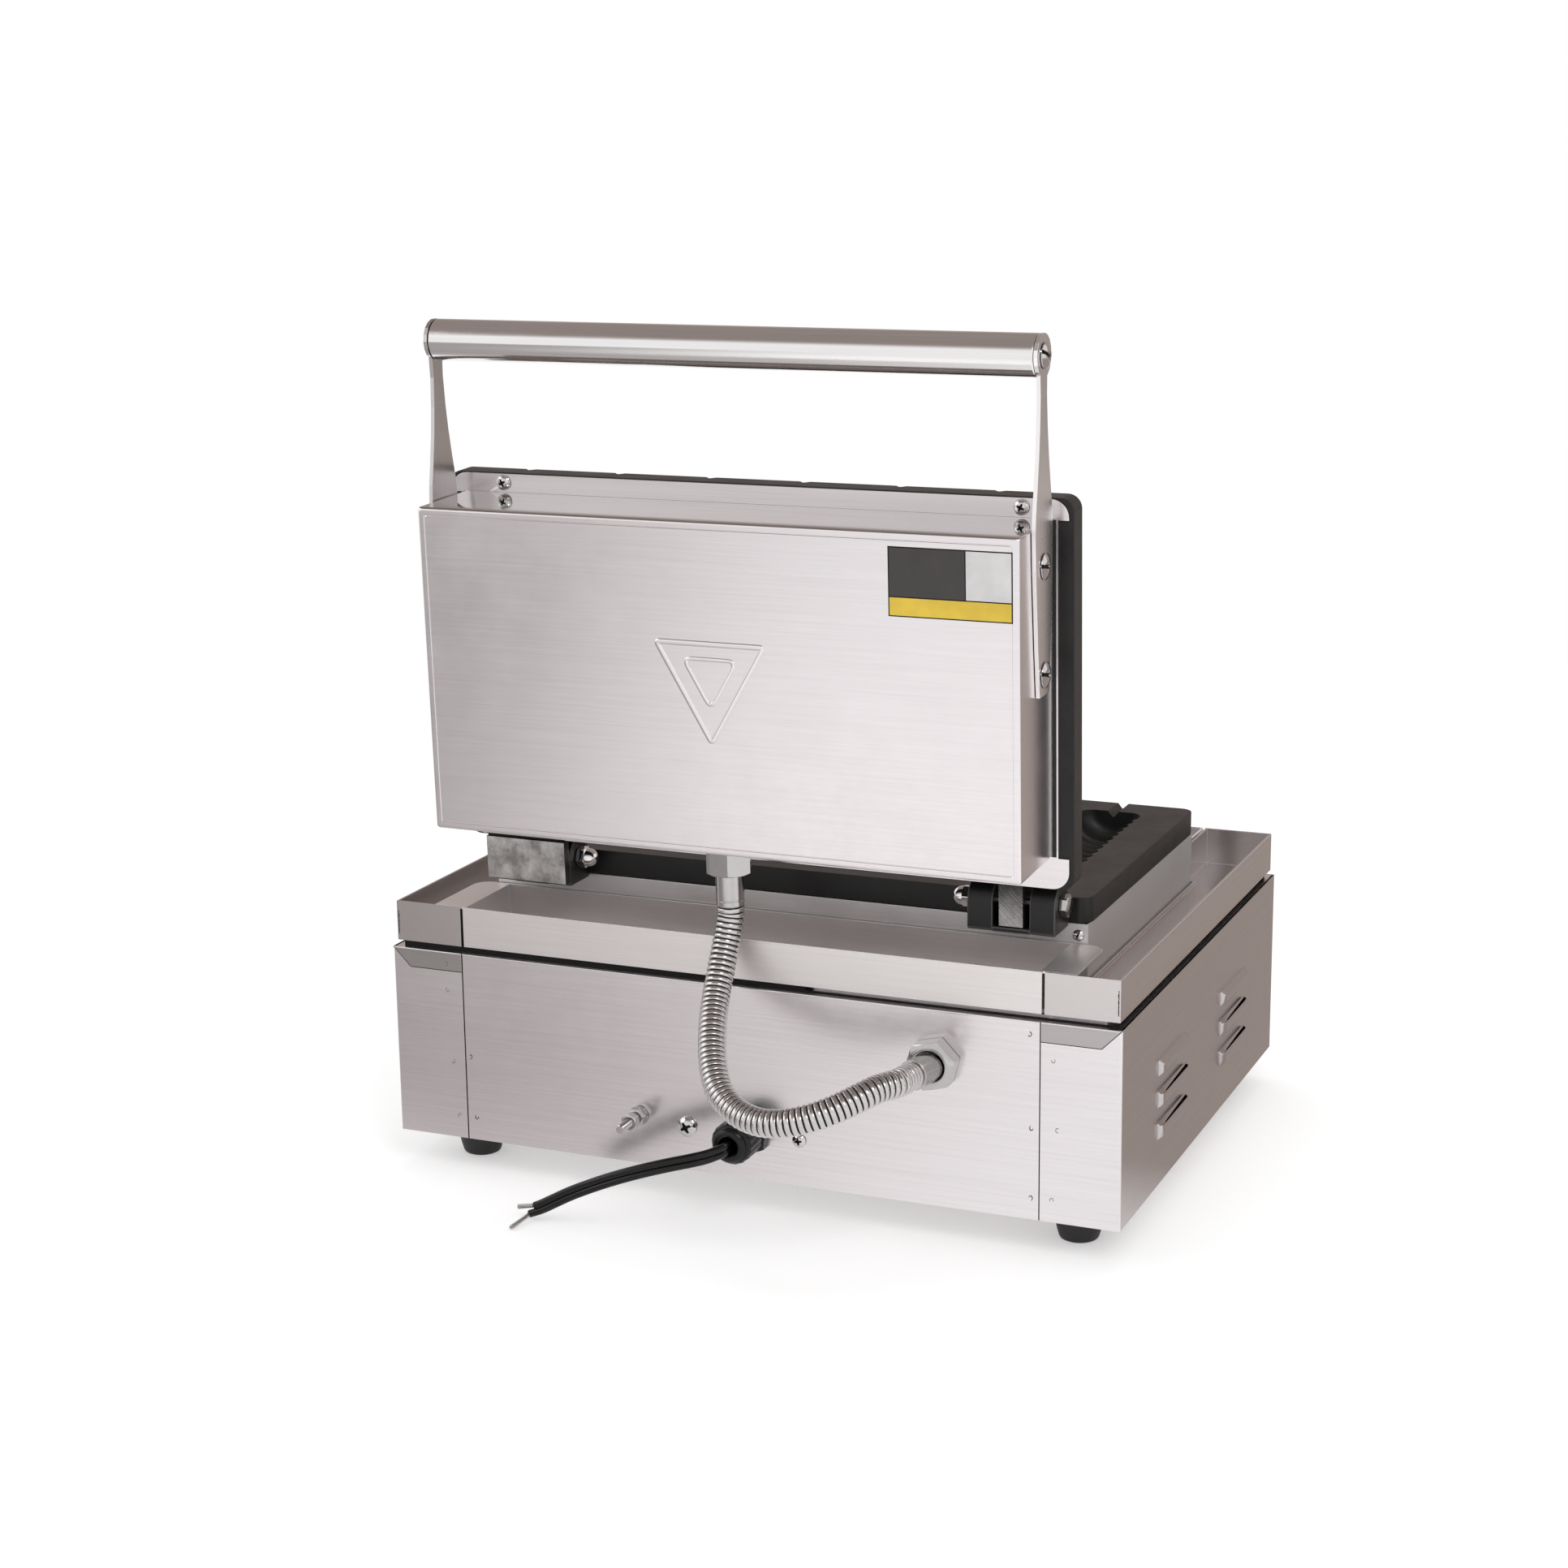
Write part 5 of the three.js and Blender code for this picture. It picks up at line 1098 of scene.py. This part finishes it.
for side_name, sign in SIDES:
    outward = X_AXIS * sign
    place = (sign * (HINGE_CENTRE + CHEEK_FAR + 0.3), AXIS_ALONG, AXIS_HEIGHT)
    form = Form()
    hexagon(form, 5.2, 4.2, 1.4, place, outward, turn=12)
    form.turned([(3, 0.2), (3, -46)], place, outward, 32)
    form.piece("bolt_" + side_name, [zinc], "base", "stainless_polished", "hinge_bolt_" + side_name)
    place = (sign * (HINGE_CENTRE - CHEEK_FAR - 0.3), AXIS_ALONG, AXIS_HEIGHT)
    form = Form()
    hexagon(form, 5.2, 5.0, 1.0, place, -outward, turn=8, both=True)
    form.turned([(4.95, 4.6), (4.95, 5.6)] + arc(0, 5.8, 4.9, 5, 85, 10) + [(0, 10.7)], place, -outward, 40)
    form.piece("domed_nut_" + side_name, [polished], "base", "stainless_polished", "hinge_nut_" + side_name)

# Rear fittings: the conduit's nut and sleeve, the cable gland, the earth stud and two screws

form = Form()
hexagon(form, 12.0, 9.5, 3.0, (HOSE_X, OUTSIDE, HOSE_Z), Y_AXIS, turn=44 + 90, bore=8.1)
form.piece("hex_nut", [zinc], "base", "stainless_polished", "conduit_nut")

form = Form()
sleeve = [(5.2, -14), (7.6, -14), (7.6, 16.6), (7.75, 17.0), (7.75, 17.6), (7.5, 18.3), (6.9, 18.4),
          (5.4, 18.4), (5.2, 17), (5.2, -14)]
form.turned(sleeve, sleeve_bend, sleeve_heading, 48)
inner_nut = [(0.1, -24.6), (9.2, -24.6), (9.2, -19.9), (0.1, -19.9)]
form.turned(inner_nut, sleeve_bend + Y_AXIS * 9.4, Y_AXIS, 32)
form.piece("sleeve", [zinc], "base", "stainless_polished", "conduit_sleeve")

form = Form()
hexagon(form, 11.2, 14.2, 1.6, (FITTING_X, FITTING_FROM, FITTING_Z), Y_AXIS, turn=39 + 90, bore=7.6)
collar = [(5.2, -3.4), (7.3, -3.4), (7.3, 0.3), (5.2, 0.3)]
form.turned(collar, (FITTING_X, FITTING_FROM, FITTING_Z), Y_AXIS, 40)
form.piece("hex_fitting", [zinc], "lid", "stainless_polished", "conduit_lid_fitting")

form = Form()
ferrule = [(5.2, 0), (7.3, 0), (7.3, 13), (7.15, 13.2), (7.15, 13.8), (7.3, 14), (7.3, 16.4), (6.9, 17),
           (5.4, 17), (5.2, 0)]
form.turned(ferrule, (FITTING_X, FERRULE_FROM, FITTING_Z), Y_AXIS, 48)
form.piece("ferrule", [zinc], "lid", "stainless_polished", "conduit_ferrule")

form = Form()
hexagon(form, 11.3, 5.0, 2.0, (GLAND_X, OUTSIDE, GLAND_Z), Y_AXIS, turn=20, bore=9.0)
form.turned([(4.1, -6.8), (9.7, -6.8), (9.7, 8), (4.1, 8)], (GLAND_X, OUTSIDE, GLAND_Z), Y_AXIS, 48)
form.piece("gland_flange", [plastic], "base", "black_plastic", "cable_gland_body")


def fluted(form, profile, origin, axis, flute, steps):
    """A turned profile of (distance, radius, depth), with flutes of that depth pressed into it."""
    form.net([polar_ring(origin, axis, along, lambda angle: radius - depth * flute(angle), steps)
              for along, radius, depth in profile])


form = Form()
cap = [(0, 4.1, 0), (0, 11.0, 0), (0.4, 11.35, 0.2), (1.0, 11.4, 0.5), (12.6, 11.4, 0.5), (13.2, 11.1, 0.1),
       (14.3, 10.3, 0), (14.6, 9.2, 0), (14.9, 8.9, 0), (15.3, 9.2, 0), (16.6, 9.3, 0), (17.7, 8.5, 0),
       (18.3, 7.2, 0), (18.4, 6.2, 0), (18.0, 5.4, 0), (15.5, 4.9, 0), (0, 4.1, 0)]
cap_place = (GLAND_X, GLAND_CAP_BACK, GLAND_Z)
fluted(form, cap, cap_place, Y_AXIS, lambda angle: (0.5 - 0.5 * math.cos(18 * angle)) ** 2, 144)
form.piece("gland_cap", [plastic], "base", "black_plastic", "cable_gland_cap")


def threaded(form, radius, length, origin, axis, pitch):
    """A threaded rod, thinner over its last turn."""
    count = int(length / pitch * 6)
    rows = []
    for i in range(count + 1):
        along = length * i / count
        fade = min(1.0, (length - along) / pitch)

        def radius_at(angle):
            phase = (along / pitch - angle / (2 * math.pi)) % 1.0
            return radius - 0.38 * abs(2 * phase - 1) - 0.3 * (1 - fade)

        rows.append(polar_ring(origin, axis, along, radius_at, 24))
    rows.append(polar_ring(origin, axis, length, 0.0, 24))
    form.net(rows)


STUD = (59, OUTSIDE, 47)
form = Form()
form.turned([(0, -2.8), (5.4, -2.8), (5.4, -1.8), (2.3, -1.8), (2.3, 0.2)], STUD, Y_AXIS, 32)
threaded(form, 2.42, 23.5, STUD, Y_AXIS, 0.8)
form.piece("threaded_stud", [zinc], "base", "stainless_polished", "earth_stud", crease=24)
for name, node, start, height, turn, washer in (("stud_nut_inner", "earth_nut_inner", 1.0, 4.2, 10, True),
                                                ("stud_nut_outer", "earth_nut_outer", 8.2, 4.6, 37, False)):
    form = Form()
    hexagon(form, 4.18, height, 0.8, Vector(STUD) + Y_AXIS * start, Y_AXIS, turn=turn, bore=2.5, both=True)
    if washer:
        form.turned([(2.6, 0), (5.3, 0), (5.4, 0.2), (5.4, 0.8), (5.3, 1.0), (2.6, 1.0)], STUD, Y_AXIS, 48)
        toothed = [polar_ring(STUD, Y_AXIS, along, lambda a: 4.9 + 0.35 * math.cos(14 * a), 112)
                   for along in (1.0, 1.35)]
        form.net(toothed)
        form.face(toothed[-1])
    form.piece(name, [zinc], "base", "stainless_polished", node)


def screw(name, node, origin, axis, radius, height, recess, turn, body="base", washer=0.0, shank=(2.0, 5.0)):
    """A screw of its own, with a plain shank behind its head and a flat washer where it has one."""
    form = Form()
    start = Vector(origin)
    lift = 0.8 if washer else 0.0
    if washer:
        ring = [(shank[0], 0), (washer, 0), (washer, 0.6), (washer - 0.2, lift), (shank[0], lift)]
        form.turned(ring, start, axis, 48)
    screw_head(form, start + Vector(axis) * lift, axis, radius, height - lift, recess, turn)
    form.turned([(shank[0], 0.05), (shank[0], -shank[1])], start, axis, 24)
    form.piece(name, [screw_steel, seam_dark_and_painted_shade], body, "stainless_polished", node, crease=30)


screw("cross_screw_wide", "rear_screw_wide", (31, OUTSIDE, 44.4), Y_AXIS, 5.4, 3.1, "cross", 30)
screw("cross_screw_small", "rear_screw_small", (-32.8, OUTSIDE, 45.2), Y_AXIS, 3.7, 2.4, "cross", 10)
screw("box_screw", "heater_box_screw", (-PLATE_HALF + 6, PLATE_REAR + 0.3, 153.95), Y_AXIS, 3.0, 1.6,
      "slot", 70, shank=(1.4, 3.5))

# The lid's cover: one drawn box with rolled edges, a fine fold line and a pressed ornament

COVER_HALF = 160.6
COVER_FRONT = -200.0
COVER_REAR = -30.6
COVER_TOP = 67.4
COVER_BOTTOM = 16.6


def cover_loop(inset, z):
    """The cover's outline at a height, drawn in from its walls."""
    return rounded_loop(COVER_HALF - inset, COVER_FRONT + inset, COVER_REAR - inset, 1.4, z, 4)


form = Form()
rows = [cover_loop(0, COVER_BOTTOM), cover_loop(0, COVER_TOP - 1.6)]
rows += [cover_loop(1.6 - x, COVER_TOP - 1.6 + z) for x, z in arc(0, 0, 1.6, 15, 90, 5)]
FOLD_LINE = ((3.6, 0), (3.8, 0.22), (4.05, 0.22), (4.3, 0.05))
rows += [cover_loop(inset, COVER_TOP - sunk) for inset, sunk in FOLD_LINE]
form.net(rows)
form.face(rows[-1])
# The cover's front end wall takes the darker copy of the steel: painted shade
for i, corners in enumerate(form.faces):
    if all(form.points[k].y < COVER_FRONT + 0.9 for k in corners):
        form.slots[i] = 1
cover = form.piece("cover", [satin, mirror_steel_painted_shade], "lid", "stainless_satin", "lid_cover", crease=26)
thicken(cover, SHEET)


def bead(form, route, width, height):
    """A rounded bead on the cover along a closed route of (x, y) points."""
    shares = (-1.0, -0.92, -0.75, -0.5, -0.2, 0.2, 0.5, 0.75, 0.92, 1.0)
    section = [(u, COVER_TOP - 0.1 + height * math.sqrt(max(0.0, 1 - u * u))) for u in shares]
    rows = []
    for i, (x, y) in enumerate(route):
        run = (Vector(route[(i + 1) % len(route)]) - Vector(route[i - 1])).normalized()
        cross = Vector((-run.y, run.x)) * width
        rows.append([(x + cross.x * u, y + cross.y * u, z) for u, z in section])
    form.net(rows + rows[:1], closed=False)


def rounded_triangle(corners, radius):
    """A closed route along a triangle's sides, with rounded corners."""
    route = []
    for i, corner in enumerate(corners):
        spot = Vector(corner)
        to_last = Vector(corners[i - 1]) - spot
        to_next = Vector(corners[(i + 1) % 3]) - spot
        start = spot + to_last.normalized() * radius
        end = spot + to_next.normalized() * radius
        for k in range(9):
            t = k / 8
            route.append(tuple(start.lerp(spot, t).lerp(spot.lerp(end, t), t)))
        for k in range(1, 12):
            t = (radius + (to_next.length - 2 * radius) * k / 12) / to_next.length
            route.append(tuple(spot + to_next * t))
    return route


form = Form()
outer = [(29.0, -139.0), (-28.5, -139.0), (0.5, -89.0)]
inner = [(0.25 + 0.5 * (x - 0.25), -123.5 + 0.5 * (y + 123.5)) for x, y in outer]
bead(form, rounded_triangle(outer, 2.0), 1.5, 0.75)
bead(form, rounded_triangle(inner, 5.0), 1.1, 0.6)
form.piece("pressed_triangle", [satin], "lid", "stainless_satin", "lid_cover", crease=60)

# Beside the cover, but for the frame's narrow lip, a strip in the plate's black lies on the frame: painted
# shade in the gap between the cover and the arm

FRAME_TOP = 16.25
for side_name, sign in SIDES:
    form = Form()
    near, far = sorted((sign * 156.1, sign * 161.9))
    form.slab(near, far, -199.6, -30.0, FRAME_TOP - 0.3, FRAME_TOP + 0.08)
    form.piece("frame_gap_painted_shade_" + side_name, [cast], "lid", "cast_plate_black")

# A plain printed panel of colour blocks in the corner of the cover

form = Form()
x0, x1, y0, y1 = -157.2, -94.7, -193.0, -159.0
low, high = COVER_TOP - 0.02, COVER_TOP + 0.12
form.slab(x0, x1, y0, y1, low, high, 1)
split_y = y1 - 9.6
split_x = x0 + 23.5
form.slab(x0 + 0.6, x1 - 0.6, split_y + 0.3, y1 - 0.6, low, high + 0.02, 0)
form.slab(x0 + 0.6, split_x - 0.3, y0 + 0.6, split_y - 0.3, low, high + 0.02, 2)
form.slab(split_x + 0.3, x1 - 0.6, y0 + 0.6, split_y - 0.3, low, high + 0.02, 3)
form.piece("colour_panel", [label_yellow, seam_dark_and_painted_shade, label_white, label_dark], "lid", "stainless_satin",
           "lid_cover")

# The handle: a polished tube between the arms, and the lid's screws

TUBE_ALONG = -280.8
TUBE_HEIGHT = 36.6
ARM_INNER = 160.9
form = Form()
half = ARM_INNER - 0.3
outside = [(3.6, -half), (9.5, -half), (10.1, -half + 0.15), (10.5, -half + 0.7)]
profile = outside + [(radius, -along) for radius, along in outside[::-1]]
profile += [(3.6, half - 14), (3.6, -half + 14), (3.6, -half)]
form.turned(profile, (0, TUBE_ALONG, TUBE_HEIGHT), X_AXIS, 96)
form.piece("tube", [tube_steel], "lid", "stainless_polished", "handle_tube")

for side_name, sign in SIDES:
    outward = X_AXIS * sign
    face = sign * (ARM_INNER + 2.3)
    screw("tube_screw_" + side_name, "handle_screw_" + side_name, (face, TUBE_ALONG, TUBE_HEIGHT), outward,
          6.5, 2.4, "slot", 65, "lid", shank=(3.0, 10.5))
    for place, along, turn in (("upper", -181.0, 80), ("lower", -128.0, 75)):
        screw("arm_screw_%s_%s_head" % (place, side_name), "arm_screw_%s_%s" % (place, side_name),
              (face, along, 37.5), outward, 6.5, 2.2, "slot", turn, "lid", shank=(2.5, 4.8))
    screw("cross_screw_frame_" + side_name, "frame_screw_" + side_name, (sign * 141.2 - 3.4, -205.0, 16.55),
          Z_AXIS, 3.6, 2.4, "cross", 25 * sign, "lid", washer=4.0, shank=(2.0, 5.8))

# Front panel: two knobs with dial marks, and two lamps

KNOB_Z = 74.0
for side_name, x, span in (("thermostat", 92.0, 270), ("timer", -92.0, 300)):
    form = Form()
    origin = (x, -OUTSIDE, KNOB_Z)
    profile = [(0, -3), (3, -3), (3, 0), (21.4, 0), (22, 0.5), (22, 1.6), (21.4, 2.2), (19.6, 3.4)]
    form.turned(profile, origin, -Y_AXIS, 96)
    grip = [(3.4, 19.4, 0.2), (4.4, 19.0, 0.7), (13.6, 18.6, 0.7), (14.8, 18.2, 0.4), (16.2, 17.2, 0),
            (16.9, 15.6, 0), (17.0, 13.5, 0), (16.5, 12.8, 0), (16.4, 0, 0)]
    fluted(form, grip, origin, -Y_AXIS, lambda angle: 0.5 + 0.5 * math.cos(24 * angle), 192)
    form.slab(x - 0.8, x + 0.8, -OUTSIDE - 17.75, -OUTSIDE - 16.2, KNOB_Z + 5, KNOB_Z + 17, 1)
    form.piece("grip_knob_" + side_name, [plastic, mark_white], side_name + "_dial", "black_plastic",
               side_name + "_knob")
    form = Form()
    for i in range(11):
        angle = math.radians(90 + (span * i / 10 if i else 0))
        reach = 3.6 if i % 5 == 0 else 2.2
        run = Vector((math.cos(angle), 0, math.sin(angle)))
        side = Vector((-run.z, 0, run.x)) * 0.4
        start = Vector((x, -HALF_DEPTH, KNOB_Z)) + run * 24.6
        stop = start + run * reach
        near = [start - side, start + side, stop + side, stop - side]
        far = [p - Y_AXIS * 0.08 for p in near]
        form.net([near, far])
        form.face(far)
    form.piece("dial_marks_" + side_name, [seam_dark_and_painted_shade], "base", "black_plastic")

for name, x, lens, slot in (("power_lamp", -17.0, green_lens, "lens_green"),
                            ("heating_lamp", 17.0, red_lens, "lens_red")):
    form = Form()
    origin = (x, -OUTSIDE, 88.0)
    bezel = [(0, -16), (5.6, -16), (5.6, 0), (7.3, 0), (7.6, 0.3), (7.6, 1.6), (7.2, 2.2), (6.0, 2.2),
             (5.8, 1.4)]
    form.turned(bezel, origin, -Y_AXIS, 64, 1)
    dome = [(5.4 * u, 2.7 + 2.4 * v) for u, v in arc(0, 0, 1, 5, 86, 9)]
    form.turned([(5.8, 1.4), (5.6, 2.6)] + dome + [(0, 5.15)], origin, -Y_AXIS, 64)
    form.piece(name + "_lens", [lens, zinc], "base", slot, name)

# Stage: a pale floor, soft lamps and cards that shade the metal's reflections


def seen_by_metal_and_lens(tree):
    """1 for camera, glossy and transmission rays."""
    path = tree.nodes.new("ShaderNodeLightPath")
    total = path.outputs["Is Camera Ray"]
    for name in ("Is Glossy Ray", "Is Transmission Ray"):
        add = add_node(tree, "ShaderNodeMath", {0: total, 1: path.outputs[name]})
        add.operation = "ADD"
        add.use_clamp = True
        total = add.outputs[0]
    return total


world = bpy.data.worlds.new("studio")
world.use_nodes = True
bpy.context.scene.world = world
tree = world.node_tree
background = tree.nodes["Background"]
background.inputs["Color"].default_value = (1, 1, 1, 1)
seen = seen_by_metal_and_lens(tree)
lift = add_node(tree, "ShaderNodeMapRange", {"Value": seen, "To Min": 0.64, "To Max": 1.0})
tree.links.new(lift.outputs["Result"], background.inputs["Strength"])

floor_material = bpy.data.materials.new("floor")
floor_material.use_nodes = True
tree = floor_material.node_tree
paint = tree.nodes["Principled BSDF"]
paint.inputs["Base Color"].default_value = (0.8, 0.797, 0.795, 1)
paint.inputs["Roughness"].default_value = 0.9
paint.inputs["Specular IOR Level"].default_value = 0.0
paint.inputs["Emission Color"].default_value = (1, 1, 1, 1)
boost = add_node(tree, "ShaderNodeMath", {0: seen_by_metal_and_lens(tree), 1: 0.375})
boost.operation = "MULTIPLY"
tree.links.new(boost.outputs[0], paint.inputs["Emission Strength"])
place = tree.nodes.new("ShaderNodeTexCoord")
reach = add_node(tree, "ShaderNodeVectorMath", {0: place.outputs["Object"]})
reach.operation = "LENGTH"
values = {"Value": reach.outputs["Value"], "From Min": 0.75, "From Max": 1.9, "To Min": 1.0, "To Max": 0.0}
fade = add_node(tree, "ShaderNodeMapRange", values)
fade.interpolation_type = "SMOOTHSTEP"
tree.links.new(fade.outputs["Result"], paint.inputs["Alpha"])
form = Form()
form.face([(-2500, -2500, 0), (2500, -2500, 0), (2500, 2500, 0), (-2500, 2500, 0)])
floor = form.made("floor", [floor_material], None)


def card(name, corners, level, color, soft):
    """A card that only reflections see; level 1 is as bright as the background.

    Soft gives how far in from each side it fades: near the first corner's two sides, then the opposite two.
    """
    steps = 24
    a, b, c, d = (Vector(p) for p in corners)
    form = Form()
    rows = []
    fades = []
    for i in range(steps + 1):
        u = i / steps
        rows.append([a.lerp(b, u).lerp(d.lerp(c, u), j / steps) for j in range(steps + 1)])
        for j in range(steps + 1):
            v = j / steps
            sides = zip(soft, (u, v, 1 - u, 1 - v))
            fades.append(min(smoothstep(0.0, width, place) if width else 1.0 for width, place in sides))
    form.net(rows, closed=False)
    material = bpy.data.materials.new(name)
    material.use_nodes = True
    tree = material.node_tree
    tree.nodes.clear()
    fade = tree.nodes.new("ShaderNodeAttribute")
    fade.attribute_name = "soft"
    clear = tree.nodes.new("ShaderNodeBsdfTransparent")
    glow = add_node(tree, "ShaderNodeEmission", {"Color": (*color, 1), "Strength": level})
    values = {"Fac": fade.outputs["Fac"], 1: clear.outputs["BSDF"], 2: glow.outputs["Emission"]}
    mix = add_node(tree, "ShaderNodeMixShader", values)
    add_node(tree, "ShaderNodeOutputMaterial", {"Surface": mix.outputs["Shader"]})
    piece = form.made(name, [material], None)
    attribute = piece.data.attributes.new("soft", "FLOAT", "POINT")
    for vertex in piece.data.vertices:
        attribute.data[vertex.index].value = fades[vertex.index]
    piece.visible_camera = False
    piece.visible_diffuse = False
    piece.visible_shadow = False
    piece.visible_transmission = False


WARM = (1, 0.86, 0.79)
PALE = (1, 0.95, 0.94)
card("side_card", [(-60, 145, 3), (-3000, 145, 3), (-3000, -3000, 3), (-60, -3000, 3)], 0.42, WARM,
     (0, 0.02, 0.3, 0.4))
card("left_card", [(-60, 158, 3), (1600, 158, 3), (3000, 3200, 3), (1169, 3200, 3)], 0.4, PALE,
     (0.24, 0.01, 0.1, 0.2))
card("near_card", [(-500, 156, 2.5), (120, 156, 2.5), (400, 700, 2.5), (-500, 700, 2.5)], 1.0, (1, 1, 1),
     (0.2, 0, 0.3, 0.4))
card("shade_card", [(-150, 156, 2.6), (600, 156, 2.6), (900, 700, 2.6), (-150, 700, 2.6)], 0.62, PALE,
     (0.46, 0, 0.1, 0.4))
card("front_card", [(-2600, -2600, 60), (2600, -2600, 60), (2600, -2600, 2300), (-2600, -2600, 2300)], 0.45,
     WARM, (0.1, 0, 0.1, 0.2))
card("low_card", [(-4200, -2500, 0), (0, -2500, 0), (0, -2500, 420), (-4200, -2500, 420)], 0.28, WARM,
     (0.1, 0, 0.1, 0.3))
card("ceiling_card", [(-2600, -2600, 2000), (2600, -2600, 2000), (2600, 3200, 2000), (-2600, 3200, 2000)],
     0.3, WARM, (0.1, 0, 0.1, 0.3))


def lamp(name, place, target, size, power):
    """A round soft lamp, its places in millimetres, its size in metres."""
    data = bpy.data.lights.new(name, "AREA")
    data.shape = "DISK"
    data.size = size
    data.energy = power
    light = bpy.data.objects.new(name, data)
    bpy.context.scene.collection.objects.link(light)
    start = ON_BASE @ Vector(place)
    aim = ON_BASE @ Vector(target) - start
    light.matrix_world = Matrix.Translation(start) @ aim.to_track_quat("-Z", "Y").to_matrix().to_4x4()


lamp("key", (-1300, 1500, 1900), (0, 0, 150), 1.2, 14)
lamp("fill", (1700, 1100, 1300), (0, 0, 150), 1.4, 6)
lamp("top", (0, -400, 2300), (0, 0, 150), 1.6, 8)

bpy.context.scene.view_settings.view_transform = "Standard"
